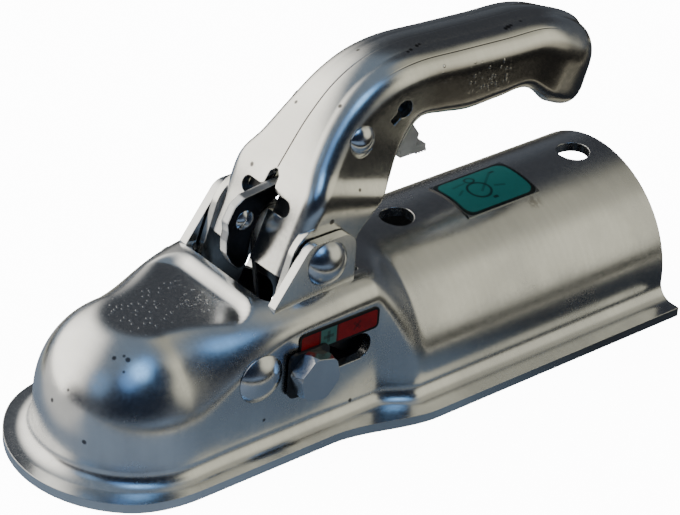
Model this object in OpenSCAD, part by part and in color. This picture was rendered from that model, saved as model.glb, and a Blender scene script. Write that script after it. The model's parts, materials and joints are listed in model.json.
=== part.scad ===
// Trailer coupling head for a 50 mm ball and a 60 mm round drawbar.
// The origin is the centre of the ball. X runs back to the drawbar, Y to the right, Z up.

/* [Ball and drawbar] */
// Diameter of the tow ball
ball_d = 50; // [49:0.5:51]
// Space between the ball and the jaw's cup
ball_clearance = 0.2; // [0.1:0.05:0.4]
// Radius of the dome over the ball, outside
dome_r = 28.3; // [28.1:0.1:29]
// Height of the dome's centre over the ball's centre
dome_lift = 2.7; // [2.3:0.1:3.2]
// Diameter of the drawbar tube
drawbar_d = 60; // [58:0.5:62]
// Space round the drawbar tube
drawbar_clearance = 0.2; // [0.1:0.05:0.4]
// Depth of the drawbar's axis under the ball's centre
drawbar_drop = 3.7; // [2.5:0.1:4.2]
// Rear end of the socket
socket_end_x = 176.5; // [165:0.5:190]
// Front end of the round socket
socket_start_x = 84; // [80:1:92]

/* [Pressed housing] */
// Sheet thickness of the housing
sheet_t = 3; // [2.5:0.1:3.2]
// Underside of the base flange
base_z = -12.4; // [-13.5:0.1:-11.5]
// Radius of the bend from the flange to the wall
flange_bend_r = 5; // [4:0.5:6]
// Half width of the flange beside the ball
flange_half_front = 34.7; // [34.2:0.1:37]
// Radius of the flange round the nose
nose_r = 36.5; // [36:0.1:38]
// Half width of the flange beside the socket
flange_half_rear = 41.7; // [40:0.1:44]
// Half width of the box behind the dome
box_half_w = 28; // [27.9:0.1:28.4]
// Height of the box's top
box_top_z = 31.6; // [31:0.1:33]
// Radius of the box's shoulders
shoulder_r = 7; // [6:0.5:8]
// Length over which the dome's round sides turn into those shoulders
shoulder_length = 66; // [62:1:68]
// Height of the flat pressed into the dome's top
facet_z = 28.7; // [28.4:0.1:29.5]
// Rear edge of that flat
facet_end_x = 24.5; // [22:0.5:25]

/* [Opening and ears] */
// Front edge of the opening for the handle
opening_front_x = 30.6; // [30:0.1:31]
// Rear edge of that opening
opening_rear_x = 64; // [62:0.5:66]
// Corner radius of the opening
opening_corner_r = 5; // [3:0.5:6]
// Space between an ear and the handle
ear_clearance = 0.5; // [0.3:0.1:0.8]
// Radius of an ear round the pivot
ear_r = 7.4; // [7.2:0.1:8.2]

/* [Handle] */
// Pivot of the handle, along X
pivot_x = 49; // [48.5:0.1:49.5]
// Pivot of the handle, height
pivot_z = 40; // [39.5:0.1:41]
// Half width of the grip
grip_half_w = 13; // [12:0.5:14]
// Sheet thickness of the handle
handle_t = 2.5; // [2:0.1:2.8]
// Radius of the pivot rivet's shank
pivot_r = 5; // [4.5:0.1:5.2]
// Radius of the pivot rivet's heads
pivot_head_r = 6.9; // [6.6:0.1:7.2]
// Height of the pivot rivet's heads
pivot_head_h = 4; // [3:0.1:4.5]

/* [Indicator bolt and slots] */
// Bolt axis along X at rest
bolt_x = 38.6; // [38.2:0.1:39]
// Bolt axis height
bolt_z = 12.2; // [11.8:0.1:12.6]
// Thread diameter of the bolt
bolt_d = 8; // [7.5:0.1:8.2]
// Width across flats of the bolt head and the nut
bolt_flats = 13; // [12:0.5:13.5]
// Height of the bolt head
bolt_head_h = 5.3; // [4.5:0.1:6]
// Travel of the bolt along the slots
bolt_travel = 19.5; // [19:0.1:19.8]
// Space round the bolt in the slots
slot_clearance = 0.3; // [0.25:0.05:0.4]

/* [Jaw] */
// Jaw pivot along X
jaw_x = 22.6; // [22.2:0.1:22.9]
// Jaw pivot height
jaw_z = 14.4; // [14.1:0.1:14.7]
// Wall of the jaw's cup
jaw_t = 4.5; // [4:0.1:4.8]
// Thickness of the jaw's side plates
jaw_plate_t = 3; // [2.5:0.1:3.1]
// Thickness of the spacers between the jaw and the walls
jaw_spacer_t = 3; // [2.5:0.1:3.1]
// Space between the jaw's side plates and the handle's arms
arm_clearance = 0.5; // [0.3:0.1:0.8]
// Radius of the jaw rivets' shanks
jaw_rivet_r = 4.9; // [4.5:0.1:5]
// Radius of the jaw rivets' heads
jaw_head_r = 7.5; // [7.2:0.1:8]
// Height of the jaw rivets' heads
jaw_head_h = 3.2; // [2.5:0.1:3.6]
// Turn of the jaw from rest to fully open, in degrees
jaw_open = 15; // [14.5:0.1:15.5]
// Turn of the jaw from rest to a clamped ball, in degrees
jaw_clamp = 5.7; // [5:0.1:6.2]
// Lift of the handle from rest to fully open, in degrees
handle_open = 40; // [39.5:0.1:40.5]

/* [Lock catch] */
// Catch pin along X
catch_x = 66; // [65.5:0.1:66.5]
// Catch pin height
catch_z = 70; // [69.5:0.1:70.5]
// Radius of the catch pin
catch_pin_r = 3; // [2.6:0.1:3.1]
// Thickness of the lock plate
lock_plate_t = 3; // [2.5:0.1:3.2]
// Thickness of the trigger's sheet
trigger_t = 1.5; // [1.2:0.1:1.8]

/* [Drawbar bolt holes] */
// Front bolt hole along X
bolt_hole_front_x = 94; // [92:0.5:98]
// Distance between the two bolt holes
bolt_hole_spacing = 71; // [68:0.5:73]
// Diameter of the bolt holes
bolt_hole_d = 10.5; // [10:0.1:11]

/* [Hidden] */
$fn = 48;
// Space between faces that seat on each other
seat = 0.05;
// Running space round a pin
running = 0.05;
ball_r = ball_d / 2;
socket_r = drawbar_d / 2 + drawbar_clearance;
socket_outer_r = socket_r + sheet_t;
jaw_plate_y1 = box_half_w - sheet_t - jaw_spacer_t;
jaw_plate_y0 = jaw_plate_y1 - jaw_plate_t;
handle_half_w = jaw_plate_y0 - arm_clearance;
ear_inner_y = handle_half_w + ear_clearance;
ear_outer_y = ear_inner_y + sheet_t;
flange_top_z = base_z + sheet_t;
bend_centre_z = flange_top_z + flange_bend_r;
steel = [0.68, 0.7, 0.73];
dark_steel = [0.2, 0.21, 0.23];
bright_steel = [0.82, 0.83, 0.85];

// Small functions for curves
function smooth(a, b, x) = let(t = min(1, max(0, (x - a) / (b - a)))) t * t * (3 - 2 * t);
function mix(a, b, t) = a + (b - a) * t;
function arc(c, r, a0, a1, n) = [for (i = [0:n]) let(a = mix(a0, a1, i / n)) c + r * [cos(a), sin(a)]];
function turned(p, c, a) = let(d = p - c)
    c + [d.x * cos(a) - d.y * sin(a), d.x * sin(a) + d.y * cos(a)];
function unit(v) = v / norm(v);
// Point of a smooth curve through a list of points, at u from 0 to the last index
function spline(p, u) = let(
        n = len(p) - 1,
        i = min(n - 1, floor(u)),
        t = u - i,
        b = p[i],
        c = p[i + 1],
        a = i > 0 ? p[i - 1] : 2 * b - c,
        d = i < n - 1 ? p[i + 2] : 2 * c - b)
    b + 0.5 * t * ((c - a) + t * ((2 * a - 5 * b + 4 * c - d) + t * (3 * (b - c) + d - a)));

// Turns triangles over so that they run clockwise seen from outside
function facing_out(faces) = [for (f = faces) [f[0], f[2], f[1]]];

// Draws a plate in the XZ plane between two values of Y
module plate(outline, y0, y1) {
    translate([0, y1, 0]) rotate([90, 0, 0]) linear_extrude(height = y1 - y0) polygon(outline);
}

// A round bar along Y
module bar_y(x, z, r, y0, y1) {
    translate([x, y0, z]) rotate([-90, 0, 0]) cylinder(r = r, h = y1 - y0);
}

// A tube along Y
module tube_y(x, z, r_out, r_in, y0, y1) {
    difference() {
        bar_y(x, z, r_out, y0, y1);
        bar_y(x, z, r_in, y0 - 1, y1 + 1);
    }
}

// A low domed rivet head on the plane y0, rising by h towards side
module dome_head(x, z, r, h, y0, side) {
    sphere_r = (r * r + h * h) / (2 * h);
    intersection() {
        translate([x, y0 + side * (h - sphere_r), z]) sphere(r = sphere_r, $fn = 64);
        translate([x, y0, z]) rotate([side > 0 ? -90 : 90, 0, 0]) cylinder(r = r + 1, h = h + 1);
    }
}

// A hexagonal head along Y with its corners turned off
module hex_y(x, z, flats, y0, y1) {
    corner_r = flats / 2 / cos(30);
    intersection() {
        translate([x, y0, z]) rotate([-90, 15, 0]) cylinder(r = corner_r, h = y1 - y0, $fn = 6);
        translate([x, y0, z]) rotate([-90, 0, 0])
            cylinder(r1 = corner_r + 0.6, r2 = corner_r - 0.5, h = y1 - y0);
        translate([x, y0, z]) rotate([-90, 0, 0])
            cylinder(r1 = corner_r - 0.5, r2 = corner_r + 0.6, h = y1 - y0);
    }
}

// A round wire along a list of points, swept in planes square to the path
module wire(path, r, sides) {
    n = len(path);
    function along(i) = unit(path[min(n - 1, i + 1)] - path[max(0, i - 1)]);
    function across(i) = unit(cross(along(i), [0.05, 1, 0.03]));
    rings = [for (i = [0:n - 1]) let(u = across(i), v = cross(along(i), u))
        for (k = [0:sides - 1]) path[i] + r * (cos(k * 360 / sides) * u + sin(k * 360 / sides) * v)];
    walls = [for (i = [0:n - 2]) for (k = [0:sides - 1]) let(q = (k + 1) % sides)
        for (f = [[i * sides + k, (i + 1) * sides + k, (i + 1) * sides + q],
                  [i * sides + k, (i + 1) * sides + q, i * sides + q]]) f];
    ends = [[for (k = [0:sides - 1]) k], [for (k = [sides - 1:-1:0]) (n - 1) * sides + k]];
    polyhedron(points = rings, faces = concat(walls, ends));
}

// Pressed housing: how its section changes along X
front_wall_half = dome_r;
function wall_half(x) = mix(mix(front_wall_half, box_half_w, smooth(0, 12, x)), socket_outer_r,
    smooth(66, 76, x));
function top_z(x) = mix(mix(dome_r + dome_lift, box_top_z, smooth(6, 26, x)),
    socket_outer_r - drawbar_drop, smooth(62, socket_start_x - 3, x));
// The shoulder is wide across and flat in height beside the ball, and becomes a round corner behind it
function fading(length, power, x) = pow(1 - pow(min(1, max(0, x / length)), 1.4), power);
function corner_across(x) = mix(mix(shoulder_r, dome_r, fading(shoulder_length, 2, x)), socket_outer_r,
    smooth(63, socket_start_x - 3, x));
function corner_high(x) = mix(mix(shoulder_r, dome_r, fading(46, 3.2, x)), socket_outer_r,
    smooth(63, socket_start_x - 3, x));
function flange_half(x) = mix(flange_half_front, flange_half_rear, smooth(45, 79, x));
// Height of the pressed flat and of the ramp behind it
facet_corner_r = 8;
facet_half_w = 20;
ramp_length = 4.2;
function facet_limit(x, y) = let(
        dx = max(0, x - (facet_end_x - facet_corner_r)),
        dy = max(0, abs(y) - (facet_half_w - facet_corner_r)),
        d = norm([dx, dy]) - facet_corner_r)
    facet_z + (box_top_z + 0.6 - facet_z) * smooth(0, ramp_length, d);
function soft_min(a, b, k) = let(h = max(0, k - abs(a - b)) / k) min(a, b) - h * h * k / 4;

// Half a section from the flange's edge to the middle of the top; s is the depth in the sheet
bend_steps = 3;
top_steps = 12;
// The shoulder's arc gets more of the points than the flat top
arc_share = 14;
function half_section(wall, ry, rz, top, flange, s) = let(
        arc_part = (ry + rz) * 0.7854 + arc_share,
        flat = wall - ry)
    concat(
        [[flange, flange_top_z - s]],
        [for (i = [0:bend_steps]) let(a = i * 90 / bend_steps)
            [wall + flange_bend_r - (flange_bend_r + s) * sin(a),
             bend_centre_z - (flange_bend_r + s) * cos(a)]],
        [for (i = [0:top_steps]) let(
                u = i / top_steps * (arc_part + flat),
                a = 90 * min(1, u / arc_part),
                over = max(0, u - arc_part))
            [flat + (ry - s) * cos(a) - over, top - rz + (rz - s) * sin(a)]]);
section_mid = 1 + (bend_steps + 1) + top_steps;
// Stations along X, from the socket to the ball, then round the nose
side_x = [socket_start_x + 0.5, socket_start_x - 0.3, socket_start_x - 1, 80, 77, 74, 71.5, 69, 66,
    62, 54, 44, 36, 31, 28.5, 26.5, 24.5, 21.5, 18, 14, 10, 6.5, 3, 0];
nose_angles = [for (a = [5:10:85]) a];
// The first two stations lie a little inside the round socket's walls
function hidden_edge(i, s) = i > 1 ? s : (s == 0 ? 0.3 : s - 0.25);
function pressed(p, s) = [p.x, p.y, p.z > 15 ? soft_min(p.z, facet_limit(p.x, p.y) - s, 1.2) : p.z];
function side_row(x, s, short) = let(
        h = half_section(wall_half(x), corner_across(x), corner_high(x), top_z(x), flange_half(x) - short, s),
        m = section_mid)
    concat([for (j = [0:m]) pressed([x, -h[j].x, h[j].y], s)],
           [for (j = [m - 1:-1:0]) pressed([x, h[j].x, h[j].y], s)]);
function nose_row(a, s) = let(
        h = half_section(front_wall_half, dome_r, dome_r, top_z(0),
            mix(flange_half(0), nose_r, smooth(0, 40, a)), s),
        m = section_mid)
    concat([for (j = [0:m]) pressed([-h[j].x * sin(a), -h[j].x * cos(a), h[j].y], s)],
           [for (j = [m - 1:-1:0]) pressed([-h[j].x * sin(a), h[j].x * cos(a), h[j].y], s)]);
function shell_rows(s) = concat(
    [for (i = [0:len(side_x) - 1]) side_row(side_x[i], hidden_edge(i, s), i > 1 ? 0 : 0.1)],
    [for (a = nose_angles) nose_row(a, s)]);

module housing_front() {
    rows = len(side_x) + len(nose_angles);
    cols = 2 * section_mid + 1;
    last_side = len(side_x) - 1;
    total = rows * cols;
    outer = [for (r = shell_rows(0)) for (p = r) p];
    inner = [for (r = shell_rows(sheet_t)) for (p = r) p];
    // All rows of the nose share the point at the top of the dome
    function id(i, j) = (j == section_mid && i > last_side) ? last_side * cols + j : i * cols + j;
    function patch(i, j) = (i >= last_side && j == section_mid - 1)
        ? [[id(i, j), id(i, j + 1), id(i + 1, j)]]
        : (i >= last_side && j == section_mid)
            ? [[id(i, j), id(i, j + 1), id(i + 1, j + 1)]]
            : [[id(i, j), id(i, j + 1), id(i + 1, j + 1)], [id(i, j), id(i + 1, j + 1), id(i + 1, j)]];
    skin = [for (i = [0:rows - 2]) for (j = [0:cols - 2]) for (f = patch(i, j)) f];
    // The last row closes on itself across the middle plane
    e = rows - 1;
    zip = [for (j = [0:section_mid - 1]) let(k = cols - 1 - j)
        for (f = (j == section_mid - 1)
            ? [[id(e, j), id(e, j + 1), id(e, k)]]
            : [[id(e, j), id(e, j + 1), id(e, k - 1)], [id(e, j), id(e, k - 1), id(e, k)]]) f];
    top_faces = concat(skin, zip);
    low_faces = [for (f = top_faces) [f[0] + total, f[2] + total, f[1] + total]];
    near_rim = [for (i = [0:rows - 2]) for (f = [
        [id(i, 0), id(i + 1, 0), id(i + 1, 0) + total], [id(i, 0), id(i + 1, 0) + total, id(i, 0) + total]]) f];
    c = cols - 1;
    far_rim = [for (i = [0:rows - 2]) for (f = [
        [id(i, c), id(i + 1, c) + total, id(i + 1, c)], [id(i, c), id(i, c) + total, id(i + 1, c) + total]]) f];
    nose_rim = [[id(e, 0), id(e, c), id(e, c) + total], [id(e, 0), id(e, c) + total, id(e, 0) + total]];
    back = [for (j = [0:cols - 2]) for (f = [
        [id(0, j), id(0, j + 1) + total, id(0, j + 1)], [id(0, j), id(0, j) + total, id(0, j + 1) + total]]) f];
    polyhedron(points = concat(outer, inner),
        faces = facing_out(concat(top_faces, low_faces, near_rim, far_rim, nose_rim, back)));
}

// Section of the round socket, drawn with Y across and Z up
module socket_section() {
    intersection() {
        translate([0, -drawbar_drop]) difference() {
            circle(r = socket_outer_r, $fn = 96);
            circle(r = socket_r, $fn = 96);
        }
        translate([-50, -drawbar_drop]) square([100, 60]);
    }
    for (side = [-1, 1]) {
        mirror([side < 0 ? 1 : 0, 0]) {
            translate([socket_r, bend_centre_z]) square([sheet_t, -drawbar_drop - bend_centre_z]);
            intersection() {
                translate([socket_outer_r + flange_bend_r, bend_centre_z]) difference() {
                    circle(r = flange_bend_r + sheet_t);
                    circle(r = flange_bend_r);
                }
                translate([socket_r, base_z]) square([flange_bend_r + sheet_t, flange_bend_r + sheet_t]);
            }
            translate([socket_outer_r + flange_bend_r, base_z])
                square([flange_half_rear - socket_outer_r - flange_bend_r, sheet_t]);
        }
    }
}

// Ear that stands up beside the opening and carries the handle's pivot
ear_front_x = opening_front_x + 0.4;
ear_rear_x = pivot_x + ear_r + 2.9;
ear_outline = concat(
    [[ear_front_x, box_top_z - 2.6], [ear_front_x, box_top_z - 0.6]],
    arc([pivot_x - 3.6, pivot_z + ear_r - 5], 5, 142, 90, 5),
    arc([ear_rear_x - 5, pivot_z + ear_r - 5], 5, 90, 0, 6),
    [[ear_rear_x, box_top_z - 2.6]]);

slot_half_h = bolt_d / 2 + slot_clearance;

// Outline of a rectangle with round corners, of radius r at x0 and q at x1
function round_rect(x0, x1, half_y, r, q, n) = concat(
    arc([x1 - q, half_y - q], q, 0, 90, n),
    arc([x0 + r, half_y - r], r, 90, 180, n),
    arc([x0 + r, r - half_y], r, 180, 270, n),
    arc([x1 - q, q - half_y], q, 270, 360, n));

module coupling_housing() color(steel) difference() {
    union() {
        difference() {
            union() {
                housing_front();
                translate([socket_start_x, 0, 0]) rotate([90, 0, 90])
                    linear_extrude(height = socket_end_x - socket_start_x) socket_section();
            }
            translate([0, 0, facet_z - sheet_t - 4]) linear_extrude(height = 20)
                polygon(round_rect(opening_front_x, opening_rear_x, ear_inner_y, opening_corner_r, 1.5, 5));
        }
        for (side = [-1, 1])
            plate(ear_outline, side > 0 ? ear_inner_y : -ear_outer_y, side > 0 ? ear_outer_y : -ear_inner_y);
    }
    // Holes for the handle's pivot and for the jaw's rivets
    bar_y(pivot_x, pivot_z, pivot_r + running, -30, 30);
    for (y = [-box_half_w - 3, box_half_w - sheet_t - 3])
        bar_y(jaw_x, jaw_z, jaw_rivet_r + running, y, y + sheet_t + 6);
    // Slots for the indicator bolt
    for (y = [-box_half_w - 3, box_half_w - sheet_t - 3]) {
        bar_y(bolt_x, bolt_z, slot_half_h, y, y + sheet_t + 6);
        bar_y(bolt_x + bolt_travel, bolt_z, slot_half_h, y, y + sheet_t + 6);
        translate([bolt_x, y, bolt_z - slot_half_h]) cube([bolt_travel, sheet_t + 6, 2 * slot_half_h]);
    }
    // Holes for the drawbar bolts
    for (x = [bolt_hole_front_x, bolt_hole_front_x + bolt_hole_spacing])
        translate([x, 0, 10]) cylinder(d = bolt_hole_d, h = 40);
}

// Handle: two rails in the middle plane, the top line and the lower edge, from the ears to the grip's end.
// The points are measured from the pivot.
top_rail = [[-12.2, -4], [-7.5, 8], [-3.4, 18], [1.5, 25.5], [8.5, 34.6], [17, 42.4], [27, 47.2], [39, 49],
    [55, 48.2], [73, 47], [89, 46], [100, 43], [109.5, 37.6], [114.6, 30]];
low_rail = [[11.5, -6.5], [13.5, 3], [21.5, 11.3], [26.3, 16], [30.5, 22], [35.5, 27.3], [41, 29.4],
    [49, 27.8], [59, 26], [70, 26.8], [80.5, 27.4], [91, 19], [103, 16.4], [114.6, 30]];
// Half width, corner radius, crown and how far the lower edge rolls in, at each point of the rails
function widths(w, g) = [w, w, w, mix(w, g, 0.5), g + 0.6, g, g, g, g, g, g + 0.2, g + 0.8, g - 1.5, 0.4];
corner_radii = [5, 5, 5, 6, 6.5, 7.5, 8, 8, 8, 8, 8.5, 11, 9.5, 0.3];
crowns = [0.3, 0.3, 0.3, 0.5, 0.7, 0.8, 0.8, 0.8, 0.8, 0.8, 0.8, 1, 1, 0.1];
rolls = [8, 8, 8, 12, 15, 30, 60, 80, 80, 60, 50, 85, 90, 90];
roll_r = 4.5;
pivot = [pivot_x, pivot_z];
rail_steps = 2;
flat_cells = 3;
corner_cells = 5;
roll_cells = 3;
handle_cols = 2 * (flat_cells + corner_cells + roll_cells + 1) + 1;
handle_rows = (len(top_rail) - 1) * rail_steps;
function rail_normal(p, u, side) = let(t = unit(spline(p, u + 0.05) - spline(p, max(0, u - 0.05))))
    side * [-t.y, t.x];
function handle_row(u, s) = let(
        top = pivot + spline(top_rail, u) - s * rail_normal(top_rail, u, 1),
        roll = spline(rolls, u),
        low = pivot + spline(low_rail, u) - s * sin(roll) * rail_normal(low_rail, u, -1),
        w = max(0.6, spline(widths(handle_half_w, grip_half_w), u)),
        depth = norm(top - low),
        up = (top - low) / depth,
        r = min(max(0.3, spline(corner_radii, u)), w - 0.25, depth * 0.45),
        crown = spline(crowns, u),
        q = min(roll_r, w * 0.6, depth * 0.3),
        ri = max(0.1, r - s),
        qi = max(0.08, q - s),
        wi = w - s,
        flat = wi - ri,
        half = concat(
            [for (i = [0:flat_cells]) let(k = i / flat_cells) [flat * k, depth - crown * k * k]],
            [for (i = [1:corner_cells]) let(a = 90 - i * 90 / corner_cells)
                [flat + ri * cos(a), depth - crown - ri + ri * sin(a)]],
            [for (i = [0:roll_cells]) let(a = i * roll / roll_cells)
                [wi - qi + qi * cos(a), qi * sin(roll) - qi * sin(a)]]),
        m = len(half) - 1)
    concat([for (j = [m:-1:0]) [low.x + up.x * half[j].y, -half[j].x, low.y + up.y * half[j].y]],
           [for (j = [1:m]) [low.x + up.x * half[j].y, half[j].x, low.y + up.y * half[j].y]]);

module handle_shell() {
    rows = handle_rows;
    cols = handle_cols;
    outer = [for (i = [0:rows - 1]) for (p = handle_row(i / rail_steps, 0)) p];
    inner = [for (i = [0:rows - 1]) for (p = handle_row(i / rail_steps, handle_t)) p];
    total = rows * cols;
    tip = pivot + top_rail[len(top_rail) - 1];
    outer_tip = 2 * total;
    inner_tip = 2 * total + 1;
    skin = concat(
        [for (i = [0:rows - 2]) for (j = [0:cols - 2]) let(a = i * cols + j, b = a + cols)
            for (f = [[a, b + 1, a + 1], [a, b, b + 1]]) f],
        [for (j = [0:cols - 2]) let(a = (rows - 1) * cols + j) [a, outer_tip, a + 1]]);
    function lowered(k) = k == outer_tip ? inner_tip : k + total;
    lining = [for (f = skin) [lowered(f[0]), lowered(f[2]), lowered(f[1])]];
    near_edge = [for (i = [0:rows - 1]) let(a = i * cols, b = (i == rows - 1) ? outer_tip : a + cols)
        for (f = [[a, lowered(b), b], [a, lowered(a), lowered(b)]]) f];
    far_edge = [for (i = [0:rows - 1]) let(a = i * cols + cols - 1, b = (i == rows - 1) ? outer_tip : a + cols)
        for (f = [[a, b, lowered(b)], [a, lowered(b), lowered(a)]]) f];
    foot = [for (j = [0:cols - 2]) for (f = [[j, j + 1, j + 1 + total], [j, j + 1 + total, j + total]]) f];
    polyhedron(points = concat(outer, inner, [[tip.x, 0, tip.y], [tip.x - handle_t, 0, tip.y]]),
        faces = facing_out(concat(skin, lining, near_edge, far_edge, foot)));
}

// Lever arm that reaches down to the indicator bolt
arm_angle = atan2(bolt_z - pivot_z, bolt_x - pivot_x);
arm_length = norm([bolt_x - pivot_x, bolt_z - pivot_z]);
arm_end_r = bolt_d / 2 + 4.6;
arm_pivot_r = 10.5;
arm_spread = acos((arm_pivot_r - arm_end_r) / arm_length);
arm_outline = concat(
    arc(pivot, arm_pivot_r, arm_angle + arm_spread, arm_angle + 360 - arm_spread, 24),
    arc([bolt_x, bolt_z], arm_end_r, arm_angle - arm_spread, arm_angle + arm_spread, 12));
// The bolt's place seen from the turned handle wanders by these amounts
arm_slot_in = 2.2;
arm_slot_shift = -0.35;
arm_slot_half = bolt_d / 2 + 0.75;

module arm_slot_cut() {
    translate([pivot_x, 0, pivot_z]) rotate([0, -arm_angle, 0]) {
        for (x = [arm_length - arm_slot_in, arm_length])
            translate([x, -30, arm_slot_shift]) rotate([-90, 0, 0]) cylinder(r = arm_slot_half, h = 60);
        translate([arm_length - arm_slot_in, -30, arm_slot_shift - arm_slot_half])
            cube([arm_slot_in, 60, 2 * arm_slot_half]);
    }
}

// Angle of the handle's front face and the middle of its cross slot
face_angle = 68.3;
cross_slot = pivot + [-5.7, 12.7];
cross_slot_half_l = 10.5;
catch_seat_y = grip_half_w + 0.4;
cross_slot_half_h = 2.5;
mid_slot_half = 2.6;
notch_top = 8.6;

module front_slots_cut() {
    translate([cross_slot.x, 0, cross_slot.y]) rotate([0, -face_angle, 0]) {
        for (y = [-1, 1]) translate([0, y * (cross_slot_half_l - cross_slot_half_h), -6])
            cylinder(r = cross_slot_half_h, h = 12);
        translate([-cross_slot_half_h, cross_slot_half_h - cross_slot_half_l, -6])
            cube([2 * cross_slot_half_h, 2 * (cross_slot_half_l - cross_slot_half_h), 12]);
        translate([-30, -mid_slot_half, -6]) cube([30, 2 * mid_slot_half, 12]);
        translate([0, 0, -6]) linear_extrude(height = 12)
            polygon([[0, -4.5], [cross_slot_half_h + 0.8, -2.3], [notch_top - 1.6, -2], [notch_top, -0.5],
                [notch_top, 0.5], [notch_top - 1.6, 2], [cross_slot_half_h + 0.8, 2.3], [0, 4.5]]);
    }
}

// Keyhole in the handle's side walls
keyhole = pivot + [32.5, 35.2];
keyhole_tail = pivot + [28, 32];

module handle_lever() color(steel) difference() {
    union() {
        handle_shell();
        for (side = [-1, 1]) {
            y0 = handle_half_w - handle_t + 0.1;
            y1 = handle_half_w - 0.1;
            plate(arm_outline, side > 0 ? y0 : -y1, side > 0 ? y1 : -y0);
        }
    }
    bar_y(pivot_x, pivot_z, pivot_r + running, -30, 30);
    bar_y(catch_x, catch_z, catch_pin_r + running, -30, 30);
    // Flats for the catch pin's heads
    for (y = [catch_seat_y, -catch_seat_y - 6]) bar_y(catch_x, catch_z, catch_pin_r + 1.8, y, y + 6);
    arm_slot_cut();
    front_slots_cut();
    bar_y(keyhole.x, keyhole.y, 2.8, -30, 30);
    bar_y(keyhole_tail.x, keyhole_tail.y, 1.3, -30, 30);
    translate([keyhole_tail.x, -30, keyhole_tail.y])
        rotate([0, -atan2(keyhole.y - keyhole_tail.y, keyhole.x - keyhole_tail.x), 0])
            translate([0, 0, -1.3]) cube([norm(keyhole - keyhole_tail), 60, 2.6]);
}

// Rivet with two domed heads that carries the handle
pivot_seat_y = ear_outer_y + seat;

module pivot_rivet() color(bright_steel) union() {
    bar_y(pivot_x, pivot_z, pivot_r, -pivot_seat_y, pivot_seat_y);
    dome_head(pivot_x, pivot_z, pivot_head_r, pivot_head_h, pivot_seat_y, 1);
    dome_head(pivot_x, pivot_z, pivot_head_r, pivot_head_h, -pivot_seat_y, -1);
}

// Bush that keeps the handle's walls apart
bush_r = pivot_r + 1.5;
bush_end_y = handle_half_w - handle_t - 2.6;
bush_inner_y = 3.2;

module pivot_bush() color(dark_steel)
    tube_y(pivot_x, pivot_z, bush_r, pivot_r + running, -bush_end_y, bush_inner_y);

// Spring of round wire that pulls the handle shut: one leg lies under the housing's top behind
// the opening, and the other lies behind the bolt's sleeve
spring_wire_r = 0.8;
spring_r = pivot_r + 0.2 + spring_wire_r;
spring_y0 = bush_end_y - 0.4;
spring_y1 = bush_inner_y + spring_wire_r + 0.6;
spring_start = 0;
spring_end = 4 * 360 + 188;
spring_steps = 52;
function on_spring(a, y) = [pivot_x + spring_r * cos(a), y, pivot_z + spring_r * sin(a)];
leg_x = pivot_x + spring_r;
leg_z = box_top_z - sheet_t - 4;
leg_bend_r = 4;
spring_path = concat(
    [[opening_rear_x + 3, spring_y0, leg_z]],
    [for (i = [0:6]) let(a = 270 - 15 * i)
        [leg_x + leg_bend_r + leg_bend_r * cos(a), spring_y0, leg_z + leg_bend_r + leg_bend_r * sin(a)]],
    [for (i = [0:spring_steps]) on_spring(mix(spring_start, spring_end, i / spring_steps),
        mix(spring_y0, spring_y1, i / spring_steps))],
    [[bolt_x + 8.4, spring_y1, bolt_z + 1]]);

module return_spring() color(bright_steel) wire(spring_path, spring_wire_r, 8);

// Jaw: a cup behind the ball with two side plates that turn on the jaw rivets
jaw_pivot = [jaw_x, jaw_z];
cup_r = ball_r + ball_clearance;
cup_bottom_z = -11.6;
cup_top_z = 9;
cup_front_x = 14;
jaw_ear_r = 7;
// Track of the bolt, seen from the jaw as it turns; the jaw is drawn clamped and turned back
function bolt_from_jaw(s) = turned([bolt_x + bolt_travel * s, bolt_z], jaw_pivot, jaw_clamp - jaw_open * s);
track_cells = 8;
track_half = bolt_d / 2 + slot_clearance;
function track_dir(s) = unit(bolt_from_jaw(s + 0.02) - bolt_from_jaw(s - 0.02));
function track_side(s, d) = bolt_from_jaw(s) + d * [-track_dir(s).y, track_dir(s).x];
function track_outline(half) = let(
        a0 = atan2(track_dir(0).y, track_dir(0).x),
        a1 = atan2(track_dir(1).y, track_dir(1).x))
    concat(
        [for (i = [0:track_cells]) track_side(i / track_cells, -half)],
        arc(bolt_from_jaw(1), half, a1 - 75, a1 + 75, 8),
        [for (i = [track_cells:-1:0]) track_side(i / track_cells, half)],
        arc(bolt_from_jaw(0), half, a0 + 105, a0 + 255, 8));
track_wall = 4.2;

module jaw_side(y0, y1) {
    difference() {
        union() {
            bar_y(jaw_x, jaw_z, jaw_ear_r, y0, y1);
            plate(track_outline(track_half + track_wall), y0, y1);
            plate([[jaw_x - jaw_ear_r, jaw_z], [jaw_x - 1, jaw_z + jaw_ear_r - 0.3],
                bolt_from_jaw(0) + [0, track_half + track_wall - 0.2],
                bolt_from_jaw(0.6) + [0, -5], [cup_front_x + 10, cup_bottom_z + 3],
                [cup_front_x + 2, cup_bottom_z + 1.5], [cup_front_x, 0]], y0, y1);
        }
        bar_y(jaw_x, jaw_z, jaw_rivet_r + running, y0 - 1, y1 + 1);
        plate(track_outline(track_half), y0 - 1, y1 + 1);
    }
}

module jaw_clamped() {
    difference() {
        union() {
            intersection() {
                sphere(r = cup_r + jaw_t, $fn = 72);
                translate([cup_front_x, -jaw_plate_y1, cup_bottom_z])
                    cube([40, 2 * jaw_plate_y1, cup_top_z - cup_bottom_z]);
            }
            jaw_side(jaw_plate_y0, jaw_plate_y1);
            jaw_side(-jaw_plate_y1, -jaw_plate_y0);
        }
        sphere(r = cup_r, $fn = 72);
    }
}

module ball_jaw() color(dark_steel)
    translate([jaw_x, 0, jaw_z]) rotate([0, jaw_clamp, 0]) translate([-jaw_x, 0, -jaw_z]) jaw_clamped();

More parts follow.
